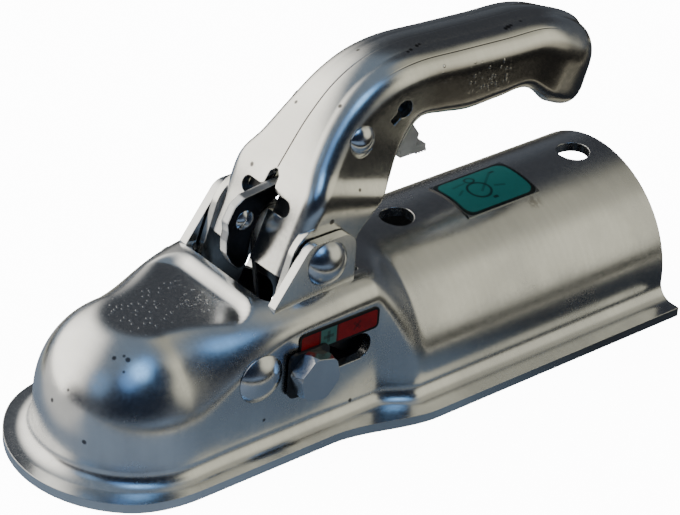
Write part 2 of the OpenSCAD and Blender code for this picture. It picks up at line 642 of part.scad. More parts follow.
// Short rivets that carry the jaw; they end clear of the ball
module jaw_rivet(side) {
    y_seat = box_half_w + seat;
    y_end = jaw_plate_y0 - 0.2;
    bar_y(jaw_x, jaw_z, jaw_rivet_r, side > 0 ? y_end : -y_seat, side > 0 ? y_seat : -y_end);
    dome_head(jaw_x, jaw_z, jaw_head_r, jaw_head_h, side * y_seat, side);
}

module jaw_rivet_left() color(bright_steel) jaw_rivet(-1);

module jaw_rivet_right() color(bright_steel) jaw_rivet(1);

// Spacers between the housing's walls and the jaw's side plates
module jaw_spacers() color(steel) for (side = [-1, 1]) {
    y0 = jaw_plate_y1 + 0.3;
    y1 = box_half_w - sheet_t - 0.35;
    tube_y(jaw_x, jaw_z, 5.9, jaw_rivet_r + running, side > 0 ? y0 : -y1, side > 0 ? y1 : -y0);
}

// Indicator bolt, its nut and the two pointer plates that slide along the walls
plate_gap = 0.7;
pointer_t = 1;
pointer_y0 = box_half_w + plate_gap;
pointer_y1 = pointer_y0 + pointer_t;
nut_h = 6.5;

module indicator_bolt() color(bright_steel) union() {
    hex_y(bolt_x, bolt_z, bolt_flats, -pointer_y1 - seat - bolt_head_h, -pointer_y1 - seat);
    bar_y(bolt_x, bolt_z, bolt_d / 2, -pointer_y1 - seat - 1, pointer_y1 + nut_h + 1.4);
}

module bolt_nut() color(bright_steel) difference() {
    hex_y(bolt_x, bolt_z, bolt_flats, pointer_y1 + seat, pointer_y1 + seat + nut_h);
    bar_y(bolt_x, bolt_z, bolt_d / 2 + running, pointer_y1 - 1, pointer_y1 + nut_h + 3);
}

pointer_half_w = bolt_flats / 2 + 0.5;
pointer_outline = concat(
    arc([bolt_x - pointer_half_w + 2, bolt_z + 5], 2, 180, 90, 4),
    arc([bolt_x + pointer_half_w - 2, bolt_z + 5], 2, 90, 0, 4),
    arc([bolt_x + pointer_half_w - 2, bolt_z - 5], 2, 0, -60, 3),
    [[bolt_x + 3.6, bolt_z - 9.6], [bolt_x + 2.6, bolt_z - 11], [bolt_x + 0.4, bolt_z - 8]],
    arc([bolt_x - pointer_half_w + 2, bolt_z - 5.4], 2, 270, 180, 4));

module pointer_plate(side) difference() {
    plate(pointer_outline, side > 0 ? pointer_y0 : -pointer_y1, side > 0 ? pointer_y1 : -pointer_y0);
    bar_y(bolt_x, bolt_z, bolt_d / 2 + running, -pointer_y1 - 1, pointer_y1 + 1);
}

module pointer_plate_left() color([0.06, 0.06, 0.07]) pointer_plate(-1);

module pointer_plate_right() color([0.06, 0.06, 0.07]) pointer_plate(1);

module bolt_sleeve() color(steel)
    tube_y(bolt_x, bolt_z, bolt_d / 2 + 2, bolt_d / 2 + running,
        -handle_half_w + handle_t + 0.4, handle_half_w - handle_t - 0.4);

// Lock catch: a curved plate in the middle plane with a finger trigger behind it
catch_at = [catch_x, catch_z];
nose = pivot + [-19.8, 3];
link_at = catch_at + [10, -4];
lock_outline = concat(
    arc(catch_at, 6.2, 200, 20, 10),
    arc(link_at, 4.2, 20, -110, 6),
    [catch_at + [0, -7.4], catch_at + [-10.5, -16], pivot + [-1.6, 12.8], pivot + [-8, 9.5],
     pivot + [-11.2, 2], pivot + [-12.2, -5]],
    arc(pivot + [-14.4, -5.2], 2, 0, -130, 4),
    [pivot + [-17.6, -4.6], pivot + [-19.6, -1], nose, pivot + [-19.3, 5.7], pivot + [-19.7, 8.6],
     pivot + [-17.4, 13.2], pivot + [-14.2, 15.3], pivot + [-8, 16], pivot + [-4, 16.5],
     pivot + [-0.1, 17], pivot + [1.7, 19.6], pivot + [5, 24.2], pivot + [9, 29.4]]);
half_plate = lock_plate_t / 2;

module lock_plate() color(dark_steel) difference() {
    plate(lock_outline, -half_plate, half_plate);
    bar_y(catch_x, catch_z, catch_pin_r + running, -10, 10);
    bar_y(link_at.x, link_at.y, 2 + running, -10, 10);
    bar_y(pivot_x - 13.8, pivot_z + 8.2, 2 + running, -10, 10);
}

// Bright rivet in the lock plate's front
module plate_rivet() color(bright_steel) union() {
    x = pivot_x - 13.8;
    z = pivot_z + 8.2;
    bar_y(x, z, 2, -half_plate - seat, half_plate + seat);
    dome_head(x, z, 3.2, 1.2, half_plate + seat, 1);
    dome_head(x, z, 3.2, 1.2, -half_plate - seat, -1);
}

// Finger trigger: two cheeks on the catch pin joined by a ribbed tab under the grip
cheek_y0 = 5.2;
cheek_y1 = cheek_y0 + trigger_t;
tab_at = pivot + [43.5, 14.6];
cheek_outline = concat(
    arc(catch_at, 5.4, 110, 250, 8),
    [link_at + [-3, -5.2], catch_at + [17, -9.5], tab_at + [-5.2, 1.6], tab_at + [0, 0.4],
     tab_at + [1.2, 6], catch_at + [23, -2.6], catch_at + [13, 2.6]],
    arc(catch_at, 5.4, 75, 105, 2));

module release_trigger() color(steel) difference() {
    union() {
        plate(cheek_outline, cheek_y0, cheek_y1);
        plate(cheek_outline, -cheek_y1, -cheek_y0);
        translate([tab_at.x - 5.4, -cheek_y1, tab_at.y - 0.2]) cube([9.6, 2 * cheek_y1, 2]);
        for (i = [0:3]) translate([tab_at.x + 0.6 + i * 1.1, -cheek_y1, tab_at.y - 0.7])
            cube([0.6, 2 * cheek_y1, 1]);
    }
    bar_y(catch_x, catch_z, catch_pin_r + running, -10, 10);
    bar_y(link_at.x, link_at.y, 2 + running, -10, 10);
}

module trigger_link_pin() color(bright_steel) union() {
    bar_y(link_at.x, link_at.y, 2, -cheek_y1 - seat, cheek_y1 + seat);
    bar_y(link_at.x, link_at.y, 3, cheek_y1 + seat, cheek_y1 + seat + 1);
    bar_y(link_at.x, link_at.y, 3, -cheek_y1 - seat - 1, -cheek_y1 - seat);
}

// Pin through the handle's walls that carries the catch
module catch_pin() color(bright_steel) union() {
    y_seat = catch_seat_y + seat;
    bar_y(catch_x, catch_z, catch_pin_r, -y_seat, y_seat);
    dome_head(catch_x, catch_z, catch_pin_r + 1.5, 2.4, y_seat, 1);
    dome_head(catch_x, catch_z, catch_pin_r + 1.5, 2.4, -y_seat, -1);
}

catch_bush_r = catch_pin_r + 0.9;

module catch_bushes() color(steel) for (side = [-1, 1]) {
    y0 = half_plate + 0.1;
    y1 = cheek_y0 - 0.1;
    tube_y(catch_x, catch_z, catch_bush_r, catch_pin_r + running, side > 0 ? y0 : -y1, side > 0 ? y1 : -y0);
}

// Fine spring on the catch pin that holds the catch forward
catch_wire_r = 0.35;
catch_spring_r = catch_bush_r + catch_wire_r + 0.2;
catch_spring_steps = 36;
catch_spring_y0 = half_plate + catch_wire_r + 0.15;
catch_spring_y1 = cheek_y0 - catch_wire_r - 0.15;
function on_catch_spring(a, along, y) = [catch_x + catch_spring_r * cos(a) - along * sin(a), y,
    catch_z + catch_spring_r * sin(a) + along * cos(a)];
catch_spring_path = concat(
    [on_catch_spring(150, -4, catch_spring_y0)],
    [for (i = [0:catch_spring_steps]) on_catch_spring(mix(150, 1010, i / catch_spring_steps), 0,
        mix(catch_spring_y0, catch_spring_y1, i / catch_spring_steps))],
    [on_catch_spring(1010, 5, catch_spring_y1)]);

module catch_spring() color(bright_steel) wire(catch_spring_path, catch_wire_r, 6);

// Labels: a wear label over the slot and a fitting label on the socket
wear_label_x0 = 35.5;
wear_label_x1 = 64.5;
wear_label_z0 = bolt_z + 4.6;
wear_label_z1 = bolt_z + 11.7;
label_t = 0.3;
label_r = 1.6;
wear_outline = concat(
    arc([wear_label_x0 + label_r, wear_label_z1 - label_r], label_r, 180, 90, 4),
    arc([wear_label_x1 - label_r, wear_label_z1 - label_r], label_r, 90, 0, 4),
    arc([wear_label_x1 - label_r, wear_label_z0 + label_r], label_r, 0, -90, 4),
    arc([wear_label_x0 + label_r, wear_label_z0 + label_r], label_r, 270, 180, 4));

module wear_label() color([0.62, 0.1, 0.12])
    plate(wear_outline, -box_half_w - seat - label_t, -box_half_w - seat);

// The fitting label is bent round the socket
fitting_x0 = 113;
fitting_x1 = 141.5;
fitting_a0 = 77;
fitting_a1 = 109;

module fitting_label() color([0.05, 0.5, 0.48]) intersection() {
    translate([fitting_x0, 0, -drawbar_drop]) rotate([0, 90, 0]) difference() {
        cylinder(r = socket_outer_r + seat + label_t, h = fitting_x1 - fitting_x0, $fn = 96);
        translate([0, 0, -1]) cylinder(r = socket_outer_r + seat, h = fitting_x1 - fitting_x0 + 2, $fn = 96);
    }
    translate([fitting_x0, 0, -drawbar_drop]) rotate([90, 0, 90])
        linear_extrude(height = fitting_x1 - fitting_x0)
            polygon([[0, 0], 60 * [cos(fitting_a0), sin(fitting_a0)], 60 * [cos(fitting_a1), sin(fitting_a1)]]);
}

coupling_housing();
handle_lever();
pivot_rivet();
pivot_bush();
return_spring();
ball_jaw();
jaw_rivet_left();
jaw_rivet_right();
jaw_spacers();
indicator_bolt();
bolt_nut();
pointer_plate_left();
pointer_plate_right();
bolt_sleeve();
lock_plate();
plate_rivet();
release_trigger();
trigger_link_pin();
catch_pin();
catch_bushes();
catch_spring();
wear_label();
fitting_label();
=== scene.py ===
# %% [markdown]
# # Trailer coupling head
# A coupling head takes the ball of a tow bar under its dome and a drawbar tube in its round socket. It
# is pressed from sheet steel and zinc plated, and a pressed handle opens its catch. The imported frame
# brings a solid for every piece. This script adds what the solids leave plain: shells with soft folds,
# finishes, labels, light and the camera. Sizes are in millimetres, as on a maker's drawing, and turn
# into metres only where a mesh or a node is made.

# %% Imports and the frame
import json
import math

import bmesh
import bpy
import numpy as np
from mathutils import Matrix, Vector


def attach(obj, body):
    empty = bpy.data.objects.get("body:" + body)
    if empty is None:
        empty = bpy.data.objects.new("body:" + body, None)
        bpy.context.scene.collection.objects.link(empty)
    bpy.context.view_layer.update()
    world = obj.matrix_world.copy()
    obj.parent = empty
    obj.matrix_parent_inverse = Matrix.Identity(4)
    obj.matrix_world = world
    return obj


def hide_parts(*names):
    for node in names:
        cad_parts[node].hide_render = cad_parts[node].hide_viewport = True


MM = 0.001
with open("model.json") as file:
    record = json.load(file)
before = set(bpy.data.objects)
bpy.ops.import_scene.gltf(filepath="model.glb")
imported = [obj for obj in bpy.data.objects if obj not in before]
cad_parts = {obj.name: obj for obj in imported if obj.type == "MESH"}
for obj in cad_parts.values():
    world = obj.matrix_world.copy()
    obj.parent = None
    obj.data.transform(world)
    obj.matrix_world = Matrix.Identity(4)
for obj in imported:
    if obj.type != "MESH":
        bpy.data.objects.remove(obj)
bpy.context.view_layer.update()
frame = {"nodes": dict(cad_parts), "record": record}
nodes = frame["nodes"]
print("solid pieces in the frame:", len(nodes))

# %% [markdown]
# ## Curves
# A pressed sheet has hardly a straight line: each section runs softly into the next. A shell can be
# modelled by hand with subdivision, or worked out as rows of points. Rows are used here, because the
# same few sizes then drive the solid and the shell, and a smooth step blends one section into another.


# %% Blends and curves
def smooth(a, b, x):
    """Rises from 0 at a to 1 at b."""
    t = np.clip((x - a) / (b - a), 0.0, 1.0)
    return t * t * (3 - 2 * t)


def mix(a, b, t):
    return a + (b - a) * t


def soft_min(a, b, k):
    """The smaller of two heights, rounded where they cross."""
    h = max(0.0, k - abs(a - b)) / k
    return min(a, b) - h * h * k / 4


def spline(points, u):
    """Point of a smooth curve through a list of points, at u from 0 to the last index."""
    n = len(points) - 1
    i = int(min(n - 1, max(0, math.floor(u))))
    t = u - i
    b, c = points[i], points[i + 1]
    a = points[i - 1] if i > 0 else 2 * b - c
    d = points[i + 2] if i < n - 1 else 2 * c - b
    return b + 0.5 * t * ((c - a) + t * ((2 * a - 5 * b + 4 * c - d) + t * (3 * (b - c) + d - a)))


def arc(centre, r, a0, a1, n):
    return [(centre[0] + r * math.cos(math.radians(mix(a0, a1, i / n))),
             centre[1] + r * math.sin(math.radians(mix(a0, a1, i / n)))) for i in range(n + 1)]


def slot_outline(x0, x1, z, r, n=20):
    """Outline of a long hole with round ends."""
    return arc((x1, z), r, -90, 90, n) + arc((x0, z), r, 90, 270, n)


# %% [markdown]
# ## Meshes
# Every shape below is a list of points and faces. A sheet is two grids of points, the outer and the
# inner skin, closed along their edges. A prism is an outline drawn twice. Holes are cut with Boolean
# modifiers whose result is kept, so no cutter stays in the scene.

# %% Objects from points
SMOOTH_ANGLE = math.radians(35)
MERGE_DISTANCE = 2e-7


def shade(mesh):
    """Smooth shading, sharp only where faces meet at more than the angle above."""
    mesh.polygons.foreach_set("use_smooth", [True] * len(mesh.polygons))
    mesh.set_sharp_from_angle(angle=SMOOTH_ANGLE)
    mesh.update()


def new_object(name, verts_mm, faces):
    mesh = bpy.data.meshes.new(name)
    mesh.from_pydata([tuple(float(c) * MM for c in v) for v in verts_mm], [], faces)
    bm = bmesh.new()
    bm.from_mesh(mesh)
    bmesh.ops.remove_doubles(bm, verts=bm.verts, dist=MERGE_DISTANCE)
    bmesh.ops.recalc_face_normals(bm, faces=bm.faces)
    bm.to_mesh(mesh)
    bm.free()
    obj = bpy.data.objects.new(name, mesh)
    bpy.context.scene.collection.objects.link(obj)
    shade(mesh)
    return obj


# %% Sheets
def sheet_mesh(outer, inner):
    """Closed sheet between two grids of the same size."""
    rows, cols = len(outer), len(outer[0])
    total = rows * cols
    verts = [p for row in outer for p in row] + [p for row in inner for p in row]
    faces = []
    for i in range(rows - 1):
        for j in range(cols - 1):
            a = i * cols + j
            faces.append((a, a + 1, a + cols + 1, a + cols))
            faces.append((a + total, a + cols + total, a + cols + 1 + total, a + 1 + total))
    for i in range(rows - 1):
        for a, b in ((i * cols, (i + 1) * cols), ((i + 1) * cols - 1, (i + 2) * cols - 1)):
            faces.append((a, b, b + total, a + total))
    for base in (0, (rows - 1) * cols):
        for j in range(cols - 1):
            a = base + j
            faces.append((a, a + 1, a + 1 + total, a + total))
    return verts, faces


def shell_mesh(outer, inner):
    """Sheet without the face at its last row, where the two halves of a nose meet."""
    verts, faces = sheet_mesh(outer, inner)
    total = len(verts) // 2
    last = total - len(outer[0])
    return verts, [f for f in faces if not all((last <= i < total) or i >= last + total for i in f)]


# %% Prisms and bars
def prism_faces(n):
    """Two ends and n sides of a prism whose points are one outline after the other."""
    ends = [tuple(range(n)), tuple(range(2 * n - 1, n - 1, -1))]
    return ends + [(i, i + n, (i + 1) % n + n, (i + 1) % n) for i in range(n)]


def plate_mesh(outline, y0, y1):
    """Plate with its outline in XZ, from one Y to another."""
    return [(x, y, z) for y in (y0, y1) for x, z in outline], prism_faces(len(outline))


def upright_mesh(outline, z0, z1):
    """Block with its outline in XY, from one Z to another."""
    return [(x, y, z) for z in (z0, z1) for x, y in outline], prism_faces(len(outline))


def circle(centre, r, n=64):
    return [(centre[0] + r * math.cos(2 * math.pi * i / n), centre[1] + r * math.sin(2 * math.pi * i / n))
            for i in range(n)]


def join(parts):
    """Several meshes as one."""
    verts, faces = [], []
    for v, f in parts:
        k = len(verts)
        verts += list(v)
        faces += [tuple(i + k for i in face) for face in f]
    return verts, faces


# %% Cutting
ACROSS = (-30, 30)


def carve(obj, cutters, operation="DIFFERENCE"):
    """Cuts closed shapes out of obj one after another, or adds them, and removes the shapes."""
    for verts, faces in cutters:
        cutter = new_object("cutter", verts, faces)
        mod = obj.modifiers.new("cut", "BOOLEAN")
        mod.operation = operation
        mod.solver = "EXACT"
        mod.object = cutter
        deps = bpy.context.evaluated_depsgraph_get()
        mesh = bpy.data.meshes.new_from_object(obj.evaluated_get(deps))
        obj.modifiers.clear()
        old = obj.data
        obj.data = mesh
        bpy.data.meshes.remove(old)
        bpy.data.objects.remove(cutter)
    shade(obj.data)


def drill(x, z, r):
    """Round bar right across the part, to cut a hole through both its sides."""
    return plate_mesh(circle((x, z), r), *ACROSS)


# %% [markdown]
# ## Housing
# The real housing is one sheet of steel, drawn over a die: a round dome for the ball, a box with a
# pressed flat on top, a round socket for the tube, and a flange all along its foot. It could be built
# from primitives and rounded where they meet, but the folds would look like joints. So its section is
# worked out at each X from a wall, a height and a shoulder, and these three change softly along X.

# %% Sizes of the housing, the same as the solid's
SHEET = 3.0
DOME_R, DOME_LIFT = 28.3, 2.7
BASE_Z, BEND_R = -12.4, 5.0
FLANGE_TOP = BASE_Z + SHEET
BEND_Z = FLANGE_TOP + BEND_R
FLANGE_FRONT, FLANGE_NOSE, FLANGE_REAR = 34.7, 36.5, 41.7
BOX_HALF, BOX_TOP, SHOULDER_R = 28.0, 31.6, 7.0
SHOULDER_LENGTH, SHOULDER_DROP = 66.0, 46.0
SOCKET_R, DRAWBAR_DROP, SOCKET_START, SOCKET_END = 33.2, 3.7, 84.0, 176.5
FACET_Z, FACET_END, FACET_CORNER, FACET_HALF = 28.7, 24.5, 8.0, 20.0
RAMP, RAMP_RISE, FACET_BLEND = 4.2, 0.6, 1.2


# %% How the housing's section changes along X
def wall_half(x):
    return mix(mix(DOME_R, BOX_HALF, smooth(0, 12, x)), SOCKET_R, smooth(64.5, 77.5, x))


def top_z(x):
    return mix(mix(DOME_R + DOME_LIFT, BOX_TOP, smooth(6, 26, x)), SOCKET_R - DRAWBAR_DROP,
               smooth(62, SOCKET_START - 3, x))


def corner(x, length, power):
    """Half axis of the shoulder's curve, across or in height: the dome's round fades to the box's corner."""
    fading = (1 - min(1.0, max(0.0, x / length)) ** 1.4) ** power
    return mix(mix(SHOULDER_R, DOME_R, fading), SOCKET_R, smooth(63, SOCKET_START - 3, x))


def flange_half(x):
    return mix(FLANGE_FRONT, FLANGE_REAR, smooth(45, 79, x))


# %% The pressed flat
def facet_limit(x, y):
    """Height of the pressed flat and of the ramp behind it."""
    dx = max(0.0, x - (FACET_END - FACET_CORNER))
    dy = max(0.0, abs(y) - (FACET_HALF - FACET_CORNER))
    d = math.hypot(dx, dy) - FACET_CORNER
    return FACET_Z + (BOX_TOP + RAMP_RISE - FACET_Z) * smooth(0, RAMP, d)


def pressed(x, y, z, s):
    """Presses a point of the upper shell down onto the flat; s is its depth in the sheet."""
    return (x, y, soft_min(z, facet_limit(x, y) - s, FACET_BLEND) if z > DOME_R / 2 else z)


# %% One section and the rows of the shell
BEND_CELLS, WALL_CELLS, TOP_CELLS = 10, 5, 52
ARC_SHARE = 14.0
NOSE_STEP = 3.0


def half_section(wall, ry, rz, top, flange, s):
    """From the flange's edge to the middle of the top; s is the depth in the sheet."""
    points = [(flange, FLANGE_TOP - s)]
    for i in range(BEND_CELLS + 1):
        a = math.radians(i * 90 / BEND_CELLS)
        points.append((wall + BEND_R - (BEND_R + s) * math.sin(a), BEND_Z - (BEND_R + s) * math.cos(a)))
    low = points[-1][1]
    for i in range(1, WALL_CELLS):
        points.append((wall - s, mix(low, top - rz, i / WALL_CELLS)))
    arc_part, flat = (ry + rz) * math.pi / 4 + ARC_SHARE, wall - ry
    for i in range(TOP_CELLS + 1):
        u = i / TOP_CELLS * (arc_part + flat)
        a = math.radians(90 * min(1.0, u / arc_part))
        over = max(0.0, u - arc_part)
        points.append((flat + (ry - s) * math.cos(a) - over, top - rz + (rz - s) * math.sin(a)))
    return points


def housing_rows(s):
    """Sections from the socket's end to the ball's centre, then turned about it to make the nose."""
    rows = []
    stations = ([SOCKET_END - i * 4.0 for i in range(22)] + [SOCKET_START - i * 1.2 for i in range(66)]
                + [4.0, 2.9, 1.9, 0.9, 0.0])
    for x in stations:
        h = half_section(wall_half(x), corner(x, SHOULDER_LENGTH, 2), corner(x, SHOULDER_DROP, 3.2),
                         top_z(x), flange_half(x), s)
        near = [pressed(x, -y, z, s) for y, z in h]
        rows.append(near + [pressed(x, y, z, s) for y, z in reversed(h[:-1])])
    for k in range(1, round(90 / NOSE_STEP) + 1):
        a = math.radians(NOSE_STEP * k)
        reach = mix(flange_half(0), FLANGE_NOSE, smooth(0, 40, NOSE_STEP * k))
        h = half_section(wall_half(0), DOME_R, DOME_R, top_z(0), reach, s)
        c, d = math.cos(a), math.sin(a)
        near = [pressed(-y * d, -y * c, z, s) for y, z in h]
        rows.append(near + [pressed(-y * d, y * c, z, s) for y, z in reversed(h[:-1])])
    return rows


# %% [markdown]
# The ears that hold the handle are bent up from the same sheet on each side of the opening in the top.
# They are joined to the shell before any hole is drilled, so the pivot's hole goes through both.

# %% Opening, ears and holes
OPEN_X0, OPEN_X1, OPEN_HALF, OPEN_R, OPEN_CORNER = 30.6, 64.0, 19.0, 5.0, 1.5
OPEN_Z0, OPEN_Z1 = 22.0, 42.0
PIVOT, PIVOT_R = np.array([49.0, 40.0]), 5.05
JAW_PIVOT, JAW_RIVET_R = (22.6, 14.4), 4.95
BOLT, BOLT_TRAVEL, SLOT_HALF = (38.6, 12.2), 19.5, 4.3
WALL_CUTS, WALL_CUT = (-34.0, 22.0), 12.0
TUBE_BOLTS, TUBE_BOLT_R, TUBE_CUT = (94.0, 165.0), 5.25, (15.0, 45.0)
EAR_X0, EAR_X1, EAR_TOP = OPEN_X0 + 0.4, PIVOT[0] + 10.3, PIVOT[1] + 7.4
EAR_R = 5.0


def opening_block():
    r, q, h = OPEN_R, OPEN_CORNER, OPEN_HALF
    outline = (arc((OPEN_X1 - q, h - q), q, 0, 90, 6) + arc((OPEN_X0 + r, h - r), r, 90, 180, 14)
               + arc((OPEN_X0 + r, r - h), r, 180, 270, 14) + arc((OPEN_X1 - q, q - h), q, 270, 360, 6))
    return upright_mesh(outline, OPEN_Z0, OPEN_Z1)


def ears():
    outline = ([(EAR_X0, BOX_TOP - 2.6), (EAR_X0, BOX_TOP - 0.6)]
               + arc((PIVOT[0] - 3.6, EAR_TOP - EAR_R), EAR_R, 142, 90, 12)
               + arc((EAR_X1 - EAR_R, EAR_TOP - EAR_R), EAR_R, 90, 0, 16) + [(EAR_X1, BOX_TOP - 2.6)])
    y0, y1 = OPEN_HALF, OPEN_HALF + SHEET
    return join([plate_mesh(outline, y0, y1), plate_mesh(outline, -y1, -y0)])


def housing_holes():
    holes = [drill(*PIVOT, PIVOT_R)]
    slot = slot_outline(BOLT[0], BOLT[0] + BOLT_TRAVEL, BOLT[1], SLOT_HALF)
    for y in WALL_CUTS:
        holes.append(plate_mesh(circle(JAW_PIVOT, JAW_RIVET_R), y, y + WALL_CUT))
        holes.append(plate_mesh(slot, y, y + WALL_CUT))
    for x in TUBE_BOLTS:
        holes.append(upright_mesh(circle((x, 0), TUBE_BOLT_R), *TUBE_CUT))
    return join(holes)


# %% Build the housing
housing = new_object("housing_shell", *shell_mesh(housing_rows(0.0), housing_rows(SHEET)))
carve(housing, [opening_block()])
carve(housing, [ears()], "UNION")
carve(housing, [housing_holes()])
print("housing:", len(housing.data.polygons), "faces")

# %% [markdown]
# ## Handle
# The handle is a second pressing: a channel, open below, that narrows from the ears to the grip and
# rolls its edges inwards there. Two rails in the middle plane give its back and its open edge. A
# channel is drawn between them at each step, with a width, a corner, a crown and a roll of its own.

# %% Rails and how the channel changes along them, from the ears to the grip's end
HANDLE_T = 2.5
TOP_RAIL = np.array([(-12.2, -4), (-7.5, 8), (-3.4, 18), (1.5, 25.5), (8.5, 34.6), (17, 42.4), (27, 47.2),
                     (39, 49), (55, 48.2), (73, 47), (89, 46), (100, 43), (109.5, 37.6), (114.6, 30)], float)
LOW_RAIL = np.array([(11.5, -6.5), (13.5, 3), (21.5, 11.3), (26.3, 16), (30.5, 22), (35.5, 27.3),
                     (41, 29.4), (49, 27.8), (59, 26), (70, 26.8), (80.5, 27.4), (91, 19), (103, 16.4),
                     (114.6, 30)], float)
HALF_W, GRIP_W = 18.5, 13.0
WIDTHS = ([HALF_W] * 3 + [(HALF_W + GRIP_W) / 2, GRIP_W + 0.6] + [GRIP_W] * 5
          + [GRIP_W + 0.2, GRIP_W + 0.8, GRIP_W - 1.5, 0.4])
CORNERS = [5, 5, 5, 6, 6.5, 7.5, 8, 8, 8, 8, 8.5, 11, 9.5, 0.3]
CROWNS = [0.3, 0.3, 0.3, 0.5, 0.7, 0.8, 0.8, 0.8, 0.8, 0.8, 0.8, 1, 1, 0.1]
ROLLS = [8, 8, 8, 12, 15, 30, 60, 80, 80, 60, 50, 85, 90, 90]
ROLL_R = 4.5
RAIL_STEPS = 9
FLAT_CELLS, CORNER_CELLS, ROLL_CELLS, SIDE_CELLS = 14, 16, 10, 6


# %% One row of the channel
def rail_normal(rail, u, side):
    t = spline(rail, u + 0.05) - spline(rail, max(0.0, u - 0.05))
    t = t / np.linalg.norm(t)
    return side * np.array([-t[1], t[0]])


def handle_row(u, s):
    """Section at u along the rails; s is the depth in the sheet."""
    roll = spline(ROLLS, u)
    top = PIVOT + spline(TOP_RAIL, u) - s * rail_normal(TOP_RAIL, u, 1)
    low = PIVOT + spline(LOW_RAIL, u) - s * math.sin(math.radians(roll)) * rail_normal(LOW_RAIL, u, -1)
    w = max(0.6, spline(WIDTHS, u))
    depth = np.linalg.norm(top - low)
    up = (top - low) / depth
    r = min(max(0.3, spline(CORNERS, u)), w - 0.25, depth * 0.45)
    crown = spline(CROWNS, u)
    q = min(ROLL_R, w * 0.6, depth * 0.3)
    ri, qi, wi = max(0.1, r - s), max(0.08, q - s), w - s
    flat = wi - ri
    half = [(flat * i / FLAT_CELLS, depth - crown * (i / FLAT_CELLS) ** 2) for i in range(FLAT_CELLS + 1)]
    for i in range(1, CORNER_CELLS + 1):
        a = math.radians(90 - i * 90 / CORNER_CELLS)
        half.append((flat + ri * math.cos(a), depth - crown - ri + ri * math.sin(a)))
    z1 = half[-1][1]
    z0 = qi * math.sin(math.radians(roll))
    half += [(wi, mix(z1, z0, i / SIDE_CELLS)) for i in range(1, SIDE_CELLS)]
    for i in range(ROLL_CELLS + 1):
        a = math.radians(i * roll / ROLL_CELLS)
        half.append((wi - qi + qi * math.cos(a), z0 - qi * math.sin(a)))
    near = [(low[0] + up[0] * z, -y, low[1] + up[1] * z) for y, z in reversed(half)]
    return near + [(low[0] + up[0] * z, y, low[1] + up[1] * z) for y, z in half[1:]]


def handle_rows(s):
    """All rows, and one point in place of the last, where the grip closes."""
    count = (len(TOP_RAIL) - 1) * RAIL_STEPS
    rows = [handle_row(i / RAIL_STEPS, s) for i in range(count - 2)]
    tip = PIVOT + TOP_RAIL[-1]
    return rows + [[(tip[0] - s, 0.0, tip[1])] * len(rows[0])]


# %% Cuts in the handle
FACE_ANGLE = math.radians(68.3)
FACE_CENTRE = PIVOT + np.array([-5.7, 12.7])
ALONG = np.array([math.cos(FACE_ANGLE), math.sin(FACE_ANGLE)])
OUT = np.array([-ALONG[1], ALONG[0]])
CROSS_HALF, CROSS_R, FACE_CUT = 8.0, 2.5, 7.0
KEY, KEY_R = PIVOT + np.array([32.5, 35.2]), 2.8
TAIL, TAIL_HALF = PIVOT + np.array([28.0, 32.0]), 1.3
KEY_LINE = (KEY - TAIL) / np.linalg.norm(KEY - TAIL)
CATCH, CATCH_R, CATCH_SEAT_R = (66.0, 70.0), 3.05, 4.8
CATCH_SEATS = ((13.4, 19.4), (-19.4, -13.4))


def on_face(outline, d0, d1):
    """Prism of an outline drawn on the front face, first along it and then across, between two depths."""
    verts = []
    for d in (d0, d1):
        for a, b in outline:
            p = FACE_CENTRE + ALONG * a + OUT * d
            verts.append((p[0], b, p[1]))
    return verts, prism_faces(len(outline))


def handle_cuts():
    cross = [(z, x) for x, z in slot_outline(-CROSS_HALF, CROSS_HALF, 0.0, CROSS_R)]
    middle = [(-30, -2.6), (1, -2.6), (2.2, -4.2), (3.3, -2.3), (7, -2), (8.6, -0.5),
              (8.6, 0.5), (7, 2), (3.3, 2.3), (2.2, 4.2), (1, 2.6), (-30, 2.6)]
    n = TAIL_HALF * np.array([-KEY_LINE[1], KEY_LINE[0]])
    stem = [tuple(p) for p in (TAIL + n, TAIL - n, KEY - n, KEY + n)]
    pins = join([drill(*PIVOT, PIVOT_R), drill(*CATCH, CATCH_R)])
    seats = join([plate_mesh(circle(CATCH, CATCH_SEAT_R), y0, y1) for y0, y1 in CATCH_SEATS])
    return [on_face(cross, -FACE_CUT, FACE_CUT), on_face(middle, -FACE_CUT, FACE_CUT),
            drill(*KEY, KEY_R), plate_mesh(stem, *ACROSS), pins, seats]


# %% [markdown]
# Below the pivot the handle's walls go on as two lever arms, which push the bolt along its slot. They
# are flat plates just inside the walls, so they are drawn flat, cut, and added to the handle's mesh.

# %% Lever arms
ARM_R, ARM_BOLT_R, ARM_SLOT_R, ARM_SLOT, ARM_SLOT_SHIFT = 10.5, 8.6, 4.75, 2.2, 0.35
ARM_Y0, ARM_Y1 = 16.1, 18.4


def lever_arms():
    dx, dz = BOLT[0] - PIVOT[0], BOLT[1] - PIVOT[1]
    turn, length = math.atan2(dz, dx), math.hypot(dx, dz)
    angle = math.degrees(turn)
    spread = math.degrees(math.acos((ARM_R - ARM_BOLT_R) / length))
    outline = (arc(PIVOT, ARM_R, angle + spread, angle + 360 - spread, 48)
               + arc(BOLT, ARM_BOLT_R, angle - spread, angle + spread, 24))
    plates = join([plate_mesh(outline, ARM_Y0, ARM_Y1), plate_mesh(outline, -ARM_Y1, -ARM_Y0)])
    arms = new_object("arms", *plates)
    u, v = np.array([math.cos(turn), math.sin(turn)]), np.array([-math.sin(turn), math.cos(turn)])
    slot = [tuple(PIVOT + u * p + v * (q - ARM_SLOT_SHIFT))
            for p, q in slot_outline(length - ARM_SLOT, length, 0, ARM_SLOT_R, 16)]
    carve(arms, [plate_mesh(slot, *ACROSS), drill(*PIVOT, PIVOT_R)])
    return arms


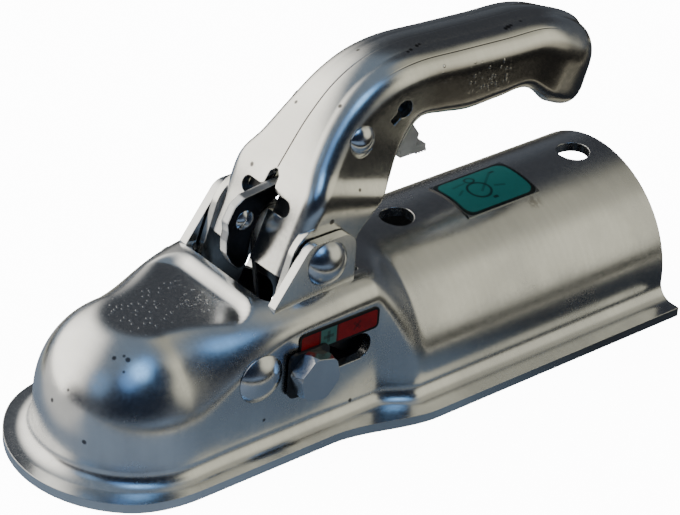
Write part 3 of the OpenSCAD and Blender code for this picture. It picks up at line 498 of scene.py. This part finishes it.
# %% Build the handle
def clean(mesh):
    """Drops faces without area, such as those that meet at the grip's end."""
    bm = bmesh.new()
    bm.from_mesh(mesh)
    bmesh.ops.dissolve_degenerate(bm, dist=1e-7, edges=bm.edges)
    bmesh.ops.recalc_face_normals(bm, faces=bm.faces)
    bm.to_mesh(mesh)
    bm.free()


def add_mesh(obj, other):
    """Adds another object's mesh and removes that object."""
    bm = bmesh.new()
    bm.from_mesh(obj.data)
    bm.from_mesh(other.data)
    bm.to_mesh(obj.data)
    bm.free()
    bpy.data.objects.remove(other)
    shade(obj.data)


handle = new_object("handle_shell", *shell_mesh(handle_rows(0.0), handle_rows(HANDLE_T)))
clean(handle.data)
carve(handle, handle_cuts())
add_mesh(handle, lever_arms())
print("handle:", len(handle.data.polygons), "faces")

# %% [markdown]
# Behind the cross slot and the keyholes the real handle is full of catch parts in deep shade, and the
# openings look black. Thin dark plates just behind them stand in for that: painted shade, and they ride with
# the handle.

# %% Build the dark plates of painted shade
SHADE_PLATE_Y0, SHADE_PLATE_Y1, SHADE_PLATE_R, SHADE_PLATE_HALF = 2.3, 10.2, 1.0, 3.6
SHADE_PLATE_DEPTHS = (-3.5, -2.7)
KEY_SHADE_PLATE_Y0, KEY_SHADE_PLATE_Y1 = 9.6, 10.3


def slot_shade_plates():
    parts = []
    inner, wide = SHADE_PLATE_HALF - SHADE_PLATE_R, SHADE_PLATE_Y1 - SHADE_PLATE_R
    key_angle = math.degrees(math.atan2(KEY_LINE[1], KEY_LINE[0]))
    key_plate = (arc(TAIL, 2.4, key_angle + 90, key_angle + 270, 10)
                 + arc(KEY, SHADE_PLATE_HALF, key_angle - 90, key_angle + 90, 16))
    for side in (-1, 1):
        outline = (arc((-inner, wide), SHADE_PLATE_R, 180, 90, 5) + arc((inner, wide), SHADE_PLATE_R, 90, 0, 5)
                   + [(SHADE_PLATE_HALF, 5.0), (7.0, 4.0), (7.0, SHADE_PLATE_Y0), (-SHADE_PLATE_HALF, SHADE_PLATE_Y0)])
        parts.append(on_face([(a, side * b) for a, b in outline], *SHADE_PLATE_DEPTHS))
        parts.append(plate_mesh(key_plate, side * KEY_SHADE_PLATE_Y0, side * KEY_SHADE_PLATE_Y1))
    return join(parts)


# Dark plates behind the slots and keyholes: painted shade.
shade_plates = new_object("slot_shade_plates", *slot_shade_plates())
print("liners:", len(shade_plates.data.polygons), "faces")

# %% [markdown]
# ## Finishes
# A material in Blender is a tree of nodes. One small function below adds a node with its settings and
# links, and the table of words names the nodes used here, so that a finish reads like a recipe.
# Colours are written as they look in a picture, and one function turns them to linear light.


# %% Colour and nodes
def srgb(text):
    """Linear colour from a hex colour as seen in a picture."""
    c = [int(text[i:i + 2], 16) / 255 for i in (1, 3, 5)]
    return tuple(v / 12.92 if v <= 0.04045 else ((v + 0.055) / 1.055) ** 2.4 for v in c) + (1.0,)


# Word: kind of node, its settings, the inputs that the values go to, the output that comes back
WORDS = {
    "plus": ("Math", {"operation": "ADD"}, (0, 1), 0),
    "minus": ("Math", {"operation": "SUBTRACT"}, (0, 1), 0),
    "times": ("Math", {"operation": "MULTIPLY"}, (0, 1), 0),
    "times_plus": ("Math", {"operation": "MULTIPLY_ADD"}, (0, 1, 2), 0),
    "larger": ("Math", {"operation": "MAXIMUM"}, (0, 1), 0),
    "size": ("Math", {"operation": "ABSOLUTE"}, (0,), 0),
    "root": ("Math", {"operation": "SQRT"}, (0,), 0),
    "angle": ("Math", {"operation": "ARCTAN2"}, (0, 1), 0),
    "step": ("MapRange", {"interpolation_type": "SMOOTHSTEP"}, (0, 1, 2, 3, 4), 0),
    "range": ("MapRange", {}, (0, 1, 2, 3, 4), 0),
    "blend": ("Mix", {"data_type": "RGBA"}, (0, 6, 7), 2),
    "bands": ("ValToRGB", {}, (0,), 0),
    "place": ("TexCoord", {}, (), "Object"),
    "facing": ("TexCoord", {}, (), "Normal"),
    "around": ("TexCoord", {}, (), "Generated"),
    "split": ("SeparateXYZ", {}, (0,), None),
    "scaled": ("Mapping", {}, ("Vector", "Scale"), 0),
    "distance": ("VectorMath", {"operation": "DISTANCE"}, (0, 1), "Value"),
    "dot": ("VectorMath", {"operation": "DOT_PRODUCT"}, (0, 1), "Value"),
    "noise": ("TexNoise", {}, ("Vector", "Scale", "Detail", "Roughness"), 0),
    "cells": ("TexVoronoi", {}, ("Vector", "Scale"), None),
    "rounded": ("Bevel", {"samples": 4}, ("Radius",), 0),
    "bump": ("Bump", {}, ("Height", "Distance", "Strength", "Normal"), 0),
}


def put(tree, socket, value):
    """Links a socket, or sets its value."""
    if isinstance(value, bpy.types.NodeSocket):
        tree.links.new(value, socket)
    else:
        socket.default_value = value


def add(tree, word, *values):
    """Adds one node with its settings and links; gives its output, or all of them where none is named."""
    kind, settings, inputs, output = WORDS[word]
    node = tree.nodes.new("ShaderNode" + kind)
    for key, value in settings.items():
        setattr(node, key, value)
    for key, value in zip(inputs, values):
        put(tree, node.inputs[key], value)
    return node.outputs if output is None else node.outputs[output]


# %% A material's start and end
def begin(name):
    mat = bpy.data.materials.new(name)
    mat.use_nodes = True
    return mat, mat.node_tree


def finish(mat, **inputs):
    """Sets or links the inputs of the material's shader."""
    shader = mat.node_tree.nodes["Principled BSDF"]
    for key, value in inputs.items():
        put(mat.node_tree, shader.inputs[key.replace("_", " ")], value)
    return mat


# %% [markdown]
# Patterns take their scale from a real size in millimetres. Masks are 1 inside a shape and 0 outside,
# with a soft edge, and work from the part's own X, Y and Z, so they stay in place from every side.


# %% Patterns
def grains(tree, size_mm, detail=3.0, rough=0.5, stretch=(1, 1, 1)):
    """Noise whose grains are about size_mm across."""
    scaled = add(tree, "scaled", add(tree, "place"), tuple(1 / (MM * size_mm * c) for c in stretch))
    return add(tree, "noise", scaled, 1.0, detail, rough)


def dots(tree, size_mm, r):
    """Scattered dots, one in each cell of size_mm, with nearly half of them left out."""
    left_out, soft = 0.45, 0.2
    scaled = add(tree, "scaled", add(tree, "place"), (1 / (MM * size_mm),) * 3)
    cells = add(tree, "cells", scaled, 1.0)
    pick = add(tree, "split", cells["Color"])[0]
    return add(tree, "times", add(tree, "step", cells["Distance"], r, r + soft, 1.0, 0.0),
               add(tree, "step", pick, left_out, left_out + 0.05))


def axes(tree):
    """The part's X, Y and Z in millimetres."""
    return [add(tree, "times", out, 1 / MM) for out in add(tree, "split", add(tree, "place"))]


# %% Masks
def turned(tree, u, v, centre, degrees):
    """Coordinates about a point, turned."""
    c, s = math.cos(math.radians(degrees)), math.sin(math.radians(degrees))
    du, dv = add(tree, "minus", u, centre[0]), add(tree, "minus", v, centre[1])
    return (add(tree, "times_plus", du, c, add(tree, "times", dv, s)),
            add(tree, "times_plus", dv, c, add(tree, "times", du, -s)))


def length(tree, a, b):
    return add(tree, "root", add(tree, "times_plus", a, a, add(tree, "times", b, b)))


def block(tree, u, v, centre, half, r=0.0, soft=0.08, degrees=0.0):
    """1 inside a rectangle with round corners."""
    over = [add(tree, "larger", add(tree, "minus", add(tree, "size", a), h - r), 0.0)
            for a, h in zip(turned(tree, u, v, centre, degrees), half)]
    return add(tree, "step", length(tree, *over), r - soft, r + soft, 1.0, 0.0)


def ring(tree, u, v, centre, r, half, soft):
    """1 on a circle's line."""
    d = add(tree, "minus", length(tree, *turned(tree, u, v, centre, 0.0)), r)
    return add(tree, "step", add(tree, "size", d), half - soft, half + soft, 1.0, 0.0)


def spot(tree, centre_mm, r, soft=0.3):
    """1 inside a small ball about a point of the part."""
    d = add(tree, "distance", add(tree, "place"), tuple(MM * c for c in centre_mm))
    return add(tree, "step", add(tree, "times", d, 1 / MM), r - soft, r + soft, 1.0, 0.0)


def tinted(tree, colour, mask, share, tint):
    """Colour with a share of a tint where the mask is 1."""
    return add(tree, "blend", add(tree, "times", mask, share), colour, srgb(tint))


# %% [markdown]
# ### Zinc plated pressed steel
# The housing and the handle are drawn from sheet steel and electroplated with zinc. Zinc is a metal, so
# metallic is 1, the index of refraction stays at its default and the roughness is low, about 0.2: the
# plating mirrors the studio softly. To the eye the plating adds a cloudy tint, a fine tooth, faint
# streaks along the draw, and specks of dirt. The tooth is finer than a pixel on the real piece, so it
# is drawn about 1 mm wide. A bevel in the shader rounds each cut edge, where the plating catches light.


# %% The plating's coat
CLOUD, TOOTH, STREAK, STREAK_LONG, DIRT, WAVE = 26, 1.1, 1.3, 14, 1.6, 14


def coat(tree, light, dark, rough, edge=0.4, tooth=0.004, dirt_from=0.79):
    """Colour, roughness and normal of zinc plating; edge and tooth are in millimetres."""
    cloud = grains(tree, CLOUD, 4)
    fine = grains(tree, TOOTH, 3)
    streak = grains(tree, STREAK, 2, 0.5, (1, STREAK_LONG, STREAK_LONG))
    dirt = add(tree, "step", grains(tree, DIRT, 2, 0.6), dirt_from, dirt_from + 0.05)
    colour = add(tree, "blend", add(tree, "step", cloud, 0.35, 0.65), srgb(light), srgb(dark))
    colour = add(tree, "blend", add(tree, "step", streak, 0.3, 0.7, 0.0, 0.07), colour, srgb("#a9a7a2"))
    colour = tinted(tree, colour, dirt, 0.75, "#4e4a44")
    roughness = add(tree, "plus", add(tree, "step", cloud, 0.3, 0.7, *rough),
                    add(tree, "step", fine, 0.3, 0.7, -0.02, 0.03))
    normal = add(tree, "bump", grains(tree, WAVE, 2), 0.2 * MM, 0.25, add(tree, "rounded", edge * MM))
    normal = add(tree, "bump", fine, tooth * MM, 0.15, normal)
    return colour, roughness, normal


# %% Plating of the housing
# Dark specks on the housing: place and radius
HOUSING_SPECKS = (((-14.5, -9.6, 25.0), 0.6), ((-12.0, -12.5, 25.1), 0.7), ((-12.3, -11.1, 25.7), 0.4),
                  ((-25.6, -12.1, 2.9), 0.7), ((-27.3, 0.9, 10.0), 0.6), ((-25.2, -3.5, 15.1), 0.4),
                  ((-14.3, -13.9, 22.8), 0.35), ((24.6, -28.0, -0.1), 0.5), ((56.2, -28.1, -5.4), 0.6))
SMUDGE, SMUDGE_R, SMUDGE_SOFT = (137.2, -13.2, 26.8), 2.2, 1.4
# Dots on the flat: centre, half sizes, corner, soft edge
FLAT_DOTS = ((7.5, 0.5), (14.5, 10.0), 5.0, 2.0)
FLAT_DOT_CELL, DOT_R, DOT_HEIGHT = 1.5, 0.22, 0.08


def zinc_housing():
    """Plating with small pressed dots on the flat, tinted white as painted glints, a smudge beside the label
    and dark specks.
    """
    mat, tree = begin("zinc_housing")
    colour, roughness, normal = coat(tree, "#dfe0e0", "#cecfd0", (0.2, 0.26))
    x, y, z = axes(tree)
    area = add(tree, "times", block(tree, x, y, *FLAT_DOTS),
               add(tree, "step", z, FACET_Z - 0.7, FACET_Z - 0.2))
    pips_and_glints = add(tree, "times", dots(tree, FLAT_DOT_CELL, DOT_R), area)
    # Painted highlight: the pressed dots are tinted white as glints; their bump is real.
    colour = tinted(tree, colour, pips_and_glints, 0.2, "#ffffff")
    smudge = add(tree, "times", spot(tree, SMUDGE, SMUDGE_R, SMUDGE_SOFT),
                 add(tree, "step", grains(tree, 1.5), 0.35, 0.6))
    colour = tinted(tree, colour, smudge, 0.6, "#8d8883")
    for place, r in HOUSING_SPECKS:
        colour = tinted(tree, colour, spot(tree, place, r), 0.85, "#2b2a33")
    normal = add(tree, "bump", pips_and_glints, DOT_HEIGHT * MM, 0.6, normal)
    return finish(mat, Metallic=1.0, Base_Color=colour, Roughness=roughness, Normal=normal)


# %% [markdown]
# The handle has the same plating. Its press leaves a dark line along the middle and two fine creases on
# the grip. The grip's sides carry small raised dots, tinted white as painted glints, and a painted shade
# makes the sides darker and warmer than its back. Lines this thin would need very fine meshes, so masks in
# the material tint them and press them in.

# %% Plating of the handle
# Dark specks on the handle: place and radius
HANDLE_SPECKS = (((45.6, 9.4, 57.7), 0.7), ((58.6, 7.4, 74.7), 0.55), ((62.7, -6.6, 78.8), 0.6),
                 ((77.7, 4.6, 87.0), 0.5), ((87.6, -5.4, 88.2), 0.45), ((89.0, -5.0, 88.3), 0.55),
                 ((91.8, -4.3, 88.5), 0.6), ((93.0, -4.0, 88.5), 0.45), ((124.0, -6.5, 86.0), 0.65),
                 ((125.3, -6.1, 86.0), 0.75), ((126.6, -5.8, 86.0), 0.55), ((131.0, -5.2, 85.9), 0.4),
                 ((52.4, -18.7, 50.7), 0.8), ((63.1, -17.3, 56.9), 0.5))
CREASE_Y = 9.6
# Dots on the grip's sides, rear and front: centre, half sizes, corner, soft edge, turn
GRIP_DOTS = ((113.0, 77.0), (8.0, 4.2), 1.5, 1.0, -8.0)
FRONT_DOTS, FRONT_SHARE = ((95.5, 82.0), (2.2, 3.0), 1.0, 0.8), 0.6
GRIP_DOT_CELL, FOLD_DEPTH = 1.4, 0.22


def fold_lines(tree, x, side, z):
    """1 on the line along the handle's middle and on the creases of its grip."""
    seam = add(tree, "times", add(tree, "step", side, 0.08, 0.28, 1.0, 0.0), add(tree, "step", z, 60.4, 61.4))
    seam = add(tree, "times", seam, add(tree, "step", x, 68.0, 80.0, 1.0, 0.2))
    crease = add(tree, "size", add(tree, "minus", side, CREASE_Y))
    crease = add(tree, "times", add(tree, "step", crease, 0.05, 0.24, 0.7, 0.0),
                 add(tree, "step", z, 82.0, 85.5))
    return add(tree, "larger", seam, add(tree, "times", crease, add(tree, "step", x, 74.0, 88.0)))


def zinc_handle():
    mat, tree = begin("zinc_handle")
    colour, roughness, normal = coat(tree, "#e6e6e3", "#d9d9d6", (0.17, 0.23))
    x, y, z = axes(tree)
    side = add(tree, "size", y)
    folds = fold_lines(tree, x, side, z)
    colour = tinted(tree, colour, folds, 0.9, "#3d2f2a")
    front = add(tree, "times", block(tree, x, z, *FRONT_DOTS), FRONT_SHARE)
    area = add(tree, "larger", block(tree, x, z, *GRIP_DOTS), front)
    area = add(tree, "times", area, add(tree, "step", side, 9.5, 11.0))
    pips_and_glints = add(tree, "times", dots(tree, GRIP_DOT_CELL, DOT_R), area)
    # Painted highlight: the dots on the grip are tinted white as glints; their bump is real.
    colour = tinted(tree, colour, pips_and_glints, 0.3, "#ffffff")
    # Painted shade: the grip's sides are tinted darker and warmer than its back.
    painted_side_shade = add(tree, "times", add(tree, "step", x, 84.0, 96.0), add(tree, "step", side, 11.8, 12.8))
    colour = tinted(tree, colour, painted_side_shade, 0.55, "#6f6660")
    for place, r in HANDLE_SPECKS:
        colour = tinted(tree, colour, spot(tree, place, r), 0.85, "#2b2522")
    normal = add(tree, "bump", add(tree, "minus", pips_and_glints, folds), FOLD_DEPTH * MM, 0.8, normal)
    return finish(mat, Metallic=1.0, Base_Color=colour, Roughness=roughness, Normal=normal)


# %% [markdown]
# ### Rivets, bolt and inner pieces
# Rivets and the bolt are cold headed and bright zinc plated, smoother than the sheet. The inner pieces
# are plainer: steel left dull from its bath, oil tempered spring wire, a cast jaw with its dark skin and
# black plates. They share one recipe with a cloudy tint, and differ in colour, roughness and metallic.
# Their real grain is finer than a pixel, so it is drawn 0.6 mm wide and very low.


# %% Bright zinc and plain metals
def bright_zinc():
    mat, tree = begin("bright_zinc")
    colour, roughness, normal = coat(tree, "#e4e6e9", "#d2d4d8", (0.14, 0.22), 0.3, 0.007, 0.8)
    return finish(mat, Metallic=1.0, Base_Color=colour, Roughness=roughness, Normal=normal)


CLOUDS, PATCHY, GRAIN, GRAIN_HEIGHT, LIGHTER = 7, 3, 0.6, 0.01, 1.25


def cloudy(name, tint, rough, metallic=0.0):
    """One colour with lighter clouds, patches of roughness and a fine grain."""
    mat, tree = begin(name)
    lighter = tuple(min(1.0, c * LIGHTER) for c in srgb(tint)[:3]) + (1.0,)
    colour = add(tree, "blend", add(tree, "step", grains(tree, CLOUDS), 0.35, 0.65), srgb(tint), lighter)
    roughness = add(tree, "step", grains(tree, PATCHY), 0.3, 0.7, rough, rough + 0.08)
    rounded = add(tree, "rounded", 0.2 * MM)
    normal = add(tree, "bump", grains(tree, GRAIN), GRAIN_HEIGHT * MM, 0.5, rounded)
    return finish(mat, Metallic=metallic, Base_Color=colour, Roughness=roughness, Normal=normal)


# %% [markdown]
# ### Hardened lock plate
# The lock plate is punched from hardened steel and blackened, and its cut edges stay bright. The edges
# face sideways from the plate's plane, so the surface's own direction tells them from the dark faces.


# %% Blackened plate with bright edges
def dark_plate():
    mat, tree = begin("dark_catch")
    facing = add(tree, "size", add(tree, "split", add(tree, "facing"))[1])
    flat = add(tree, "step", facing, 0.5, 0.8)
    cloud = add(tree, "step", grains(tree, 5), 0.35, 0.65)
    faces = add(tree, "blend", cloud, srgb("#2a2b2e"), srgb("#3a3b3f"))
    normal = add(tree, "bump", grains(tree, 0.7), 0.01 * MM, 0.5, add(tree, "rounded", 1.0 * MM))
    return finish(mat, Metallic=1.0, Base_Color=add(tree, "blend", flat, srgb("#b9bbbe"), faces),
                  Roughness=add(tree, "step", flat, 0.0, 1.0, 0.28, 0.42), Normal=normal)


# %% [markdown]
# ### Printed labels
# Both labels are printed plastic film: no metal, and a satin surface. A picture on a plane could carry
# the print, but it would need an image file. Masks in millimetres draw it instead, sharp at any size.
# The label over the slot shows how far the jaw has worn: red, with a green cell for the good range.

# %% Wear label over the slot
WEAR_Z = BOLT[1] + 8.15
WEAR_X, WEAR_HALF, WEAR_CORNER = 50.0, (13.75, 2.8), 0.9
CELL_X, CELL_BORDER, CELL_HALF = 46.0, (3.5, 3.5), (2.85, 2.8)
PLUS = ((1.8, 0.5), (0.5, 1.8))
CROSS_X, CROSS_STROKE = 56.4, (1.7, 0.4)
BLACK_INK = "#0c0b0c"


def wear_print():
    """Red with a black border, a green cell with a plus and a faint cross."""
    mat, tree = begin("wear_print")
    x, _, z = axes(tree)
    red = add(tree, "blend", add(tree, "step", grains(tree, 2.5), 0.3, 0.7), srgb("#7c0d12"), srgb("#6c0a0f"))
    inside = block(tree, x, z, (WEAR_X, WEAR_Z), WEAR_HALF, WEAR_CORNER)
    colour = add(tree, "blend", inside, srgb(BLACK_INK), red)
    cell = (CELL_X, WEAR_Z)
    colour = tinted(tree, colour, block(tree, x, z, cell, CELL_BORDER), 1.0, BLACK_INK)
    colour = tinted(tree, colour, block(tree, x, z, cell, CELL_HALF), 1.0, "#128a83")
    for half in PLUS:
        colour = tinted(tree, colour, block(tree, x, z, cell, half), 1.0, BLACK_INK)
    for turn in (45.0, -45.0):
        stroke = block(tree, x, z, (CROSS_X, WEAR_Z), CROSS_STROKE, 0.0, 0.15, turn)
        colour = tinted(tree, colour, stroke, 0.85, BLACK_INK)
    return finish(mat, Base_Color=colour, Roughness=0.5, Specular_IOR_Level=0.25)


# %% Fitting label on the socket
# Label and its green print: half sizes, corner. The label's Y is measured round the socket
FITTING_CENTRE = (127.25, -1.75)
FITTING_EDGE, FITTING_GREEN = ((14.1, 9.2), 2.6), ((13.1, 8.2), 3.0)
# Rings of the sketch: centre, radius, half width. Lines: centre, half sizes, corner, soft edge, turn
RINGS = (((124.6, -2.2), 3.7, 0.36), ((125.4, 3.4), 1.5, 0.3))
LINES = (((129.3, 0.2), (5.8, 0.34), 0.0, 0.15, 38), ((131.8, -3.3), (1.8, 0.4), 0.0, 0.15, -20),
         ((127.0, -7.2), (0.9, 0.5), 0.2, 0.12, 0), ((120.6, 2.6), (2.6, 0.34), 0.0, 0.15, 6),
         ((134.6, 3.6), (0.9, 0.45), 0.2, 0.12, 0), ((118.4, -1.0), (1.6, 0.3), 0.0, 0.15, 30))


def fitting_print():
    """Green with round corners, a black border and a simple sketch; outside it the plating shows."""
    mat, tree = begin("fitting_print")
    x, y, z = axes(tree)
    v = add(tree, "times", add(tree, "angle", y, add(tree, "plus", z, DRAWBAR_DROP)), SOCKET_R + 0.2)
    facing = add(tree, "size", add(tree, "split", add(tree, "facing"))[0])
    inside = add(tree, "larger", block(tree, x, v, FITTING_CENTRE, *FITTING_EDGE),
                 add(tree, "step", facing, 0.4, 0.6))
    green = block(tree, x, v, FITTING_CENTRE, *FITTING_GREEN)
    colour = add(tree, "blend", green, srgb("#04090a"), srgb("#0f4f4d"))
    strokes = [ring(tree, x, v, place, r, half, 0.2) for place, r, half in RINGS]
    strokes += [block(tree, x, v, *line) for line in LINES]
    for stroke in strokes:
        colour = tinted(tree, colour, stroke, 0.95, "#021416")
    colour = add(tree, "blend", inside, srgb("#8b8d8f"), colour)
    return finish(mat, Base_Color=colour, Metallic=add(tree, "minus", 1.0, inside),
                  Roughness=add(tree, "step", inside, 0.0, 1.0, 0.22, 0.3))


# %% [markdown]
# ## Each piece gets its finish
# The frame says which finish each solid has. The two shells take the place of their solids, and the
# dark plates of painted shade behind the slots are a piece of their own. A piece rides on its body, so it
# follows when a joint moves.

# %% Finishes on the pieces
MATERIALS = {
    "zinc_housing": zinc_housing(),
    "zinc_handle": zinc_handle(),
    "bright_zinc": bright_zinc(),
    "plain_steel": cloudy("plain_steel", "#b9bab7", 0.4, 0.55),
    "spring_steel": cloudy("spring_steel", "#6a6c70", 0.3, 1.0),
    "dark_jaw": cloudy("dark_jaw", "#3b3c3f", 0.5, 1.0),
    "dark_catch": dark_plate(),
    "black_plate": cloudy("black_plate", "#0d0d0f", 0.4),
    "wear_print": wear_print(),
    "fitting_print": fitting_print(),
}
SLOTS = {s["node"]: s["material_slot"] for s in frame["record"]["subparts"]}
for node_name, node_obj in nodes.items():
    node_obj.data.materials.clear()
    node_obj.data.materials.append(MATERIALS[SLOTS[node_name]])

for piece, slot_name, body, node_name in (
        (housing, "zinc_housing", "housing", "coupling_housing"),
        (handle, "zinc_handle", "handle", "handle_lever")):
    piece.data.materials.clear()
    piece.data.materials.append(MATERIALS[slot_name])
    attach(piece, body)
    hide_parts(node_name)

# The dark plates of painted shade ride with the handle.
shade_plates.data.materials.append(MATERIALS["black_plate"])
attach(shade_plates, "handle")
print("finishes:", len(MATERIALS))

# %% [markdown]
# ## Floor and what the plating mirrors
# The part stands on a plain pale floor that glows evenly, so that it stays clean and white. A mirror
# like plating shows whatever lies round it, and an even white floor would wash it out. So the floor
# is hidden from reflections, and a card just below it, seen by reflections alone, gives the cool and
# warm bands of a real table. Under the hollow part both are painted dark: a painted shadow.

# %% Floor
# The part's hollow over the floor: centre, half sizes, corner, soft edge
HOLLOWS = (((36.0, 0.0), (63.0, 27.0), 26.0, 1.0), ((113.0, 0.0), (52.0, 32.0), 24.0, 7.0))
FLOOR_HALF, CARD_HALF, GLOW, CARD_GLOW = 2500, 1500, 12.0, 1.3


def square(name, half, z):
    return new_object(name, [(-half, -half, z), (half, -half, z), (half, half, z), (-half, half, z)],
                      [(0, 1, 2, 3)])


def footprint(tree, x, y):
    """1 under the part's own hollow, where the floor and the card get a painted shadow."""
    return add(tree, "larger", *(block(tree, x, y, *hollow) for hollow in HOLLOWS))


def make_floor():
    floor = square("floor", FLOOR_HALF, BASE_Z)
    mat, tree = begin("floor_glow_and_painted_shadow")
    x, y, _ = axes(tree)
    under = footprint(tree, x, y)
    # Painted shadow: the floor is dark and without glow under the part's hollow.
    colour = add(tree, "blend", under, srgb("#fbfbfb"), srgb("#1c1d1f"))
    glow = add(tree, "step", under, 0.0, 1.0, GLOW, 0.0)
    floor.data.materials.append(finish(mat, Base_Color=colour, Roughness=0.9,
                                       Emission_Color=srgb("#ffffff"), Emission_Strength=glow))
    floor.visible_glossy = floor.visible_diffuse = False


make_floor()


# %% Table card
NEAR_TINT, NOSE_TINT, PAINTED_SHADOW_TINT = "#758292", "#c2c1be", "#060607"
# Bands along X and beside the part: where each starts and is full, colour
BANDS_ALONG = ((-30, 50, "#566371"), (80, 150, "#24282e"))
BANDS_BESIDE = ((94, 99, "#c4bfab"), (112, 116, "#0e0c0b"))
FAR_ALONG, FAR_BESIDE, FAR_TINTS = (90, 170), (170, 230), ("#6a7b90", "#0e0c0b")
NOSE_X, NOSE_Y = (-70, -38), (-20, 20)


def make_table_card():
    """A cool shade near the part, a pale band beside it, then dark."""
    card = square("table_card", CARD_HALF, BASE_Z - 1.0)
    mat, tree = begin("table_card_paint")
    x, y, _ = axes(tree)
    side = add(tree, "size", y)
    colour = srgb(NEAR_TINT)
    for line, bands in ((x, BANDS_ALONG), (side, BANDS_BESIDE)):
        for start, full, tint in bands:
            colour = add(tree, "blend", add(tree, "step", line, start, full), colour, srgb(tint))
    far = add(tree, "blend", add(tree, "step", x, *FAR_ALONG), *(srgb(tint) for tint in FAR_TINTS))
    colour = add(tree, "blend", add(tree, "step", side, *FAR_BESIDE), colour, far)
    nose = add(tree, "times", add(tree, "step", x, *NOSE_X, 1.0, 0.0), add(tree, "step", y, *NOSE_Y))
    colour = add(tree, "blend", nose, colour, srgb(NOSE_TINT))
    # Painted shadow in the reflections: the card is dark under the part's hollow.
    colour = add(tree, "blend", footprint(tree, x, y), colour, srgb(PAINTED_SHADOW_TINT))
    card.data.materials.append(finish(mat, Base_Color=srgb("#000000"), Roughness=1.0,
                                      Emission_Color=colour, Emission_Strength=CARD_GLOW))
    card.visible_camera = card.visible_diffuse = card.visible_shadow = False


make_table_card()

# %% [markdown]
# ## Studio
# Round the part stands a soft studio: cool bands from low to high, one big bright window, and smaller
# lit and dark places. Area lights could make each of them, but a world colour with soft round patches
# gives the same mirror images without noise. Two large lamps add plain soft light and stay out of the
# reflections.

# %% World
WORLD_GLOW = 1.3
# Bands from straight down to straight up: share of the way, colour
BANDS = ((0.0, "#44464b"), (0.2, "#5a5e66"), (0.36, "#6c737d"), (0.47, "#4f545c"), (0.58, "#474b52"),
         (0.75, "#565d66"), (0.88, "#646f7b"), (1.0, "#6a7786"))
# Patches: azimuth, elevation, inner and outer radius in degrees, colour, gain
PATCHES = (
    (118, 10, 14, 60, "#fffaef", 2.3),
    (-42, 27, 18, 38, "#d3cfba", 1.08),
    (-8, 52, 8, 28, "#a29f8f", 1.0),
    (33, 34, 12, 32, "#34363b", 1.0),
    (-130, 14, 12, 46, "#181d29", 1.0),
    (-96, 26, 8, 24, "#1a202c", 1.0),
    (-84, 44, 8, 20, "#1f2c40", 1.0),
    (166, 0, 6, 24, "#3a3c44", 1.0),
    (-178, 33, 3, 18, "#7d9cc0", 0.9),
    (-136, 46, 2, 14, "#6b97d2", 1.1),
    (-97, 63, 2, 12, "#6fa4e0", 1.2),
    (-116, 57, 3, 14, "#8cc2fb", 2.0),
)


def direction(azimuth, elevation):
    a, e = math.radians(azimuth), math.radians(elevation)
    return (math.cos(a) * math.cos(e), math.sin(a) * math.cos(e), math.sin(e))


def make_world():
    world = bpy.data.worlds.new("studio")
    bpy.context.scene.world = world
    world.use_nodes = True
    tree = world.node_tree
    around = add(tree, "around")
    colour = add(tree, "bands", add(tree, "range", add(tree, "split", around)[2], -1.0, 1.0))
    stops = colour.node.color_ramp.elements
    while len(stops) < len(BANDS):
        stops.new(0.5)
    for stop, (share, tint) in zip(stops, BANDS):
        stop.position, stop.color = share, srgb(tint)
    for azimuth, elevation, inner, outer, tint, gain in PATCHES:
        toward = add(tree, "dot", around, direction(azimuth, elevation))
        reach = add(tree, "step", toward, math.cos(math.radians(outer)), math.cos(math.radians(inner)))
        lit = tuple(gain * c for c in srgb(tint)[:3]) + (1.0,)
        colour = add(tree, "blend", reach, colour, lit)
    back = tree.nodes["Background"]
    put(tree, back.inputs["Color"], colour)
    put(tree, back.inputs["Strength"], WORLD_GLOW)


make_world()
print("patches in the studio:", len(PATCHES))

# %% Lamps
LAMP_SIZE, LAMP_TARGET = 1.6, Vector((0.07, 0, 0))
LAMPS = (("key", (-0.3, 0.5, 1.5), 26), ("fill", (0.2, -0.9, 1.3), 10))

for lamp_name, place, power in LAMPS:
    lamp = bpy.data.lights.new(lamp_name, "AREA")
    lamp.size = LAMP_SIZE
    lamp.energy = power
    lamp_obj = bpy.data.objects.new(lamp_name, lamp)
    lamp_obj.location = place
    lamp_obj.rotation_euler = (LAMP_TARGET - Vector(place)).to_track_quat("-Z", "Y").to_euler()
    lamp_obj.visible_glossy = False
    bpy.context.scene.collection.objects.link(lamp_obj)

# %% [markdown]
# ## Camera
# The photograph was taken with a long lens, from the front, one side and above. The camera's angles and
# place were solved from the two sizes known best, the 50 mm ball and the 60 mm drawbar.

# %% Camera
LOOK_AZIMUTH, LOOK_DOWN, CAMERA_ROLL = 41.83, 31.79, 4.63
CAMERA_AT = (-0.4226, -0.5539, 0.4829)
FOCAL_LENGTH, SENSOR_WIDTH, CLIP = 159.35, 36, (0.05, 20)


def make_camera():
    a, e, roll = (math.radians(v) for v in (LOOK_AZIMUTH, LOOK_DOWN, CAMERA_ROLL))
    back = Vector((-math.sin(a) * math.cos(e), -math.cos(a) * math.cos(e), math.sin(e)))
    right = Vector((math.cos(a), -math.sin(a), 0))
    up = back.cross(right)
    turned_right = right * math.cos(roll) + up * math.sin(roll)
    turned_up = up * math.cos(roll) - right * math.sin(roll)
    data = bpy.data.cameras.new("camera")
    data.sensor_width = SENSOR_WIDTH
    data.lens = FOCAL_LENGTH
    data.clip_start, data.clip_end = CLIP
    camera = bpy.data.objects.new("camera", data)
    rotation = Matrix((turned_right, turned_up, back)).transposed().to_4x4()
    camera.matrix_world = Matrix.Translation(CAMERA_AT) @ rotation
    bpy.context.scene.collection.objects.link(camera)
    bpy.context.scene.camera = camera


make_camera()
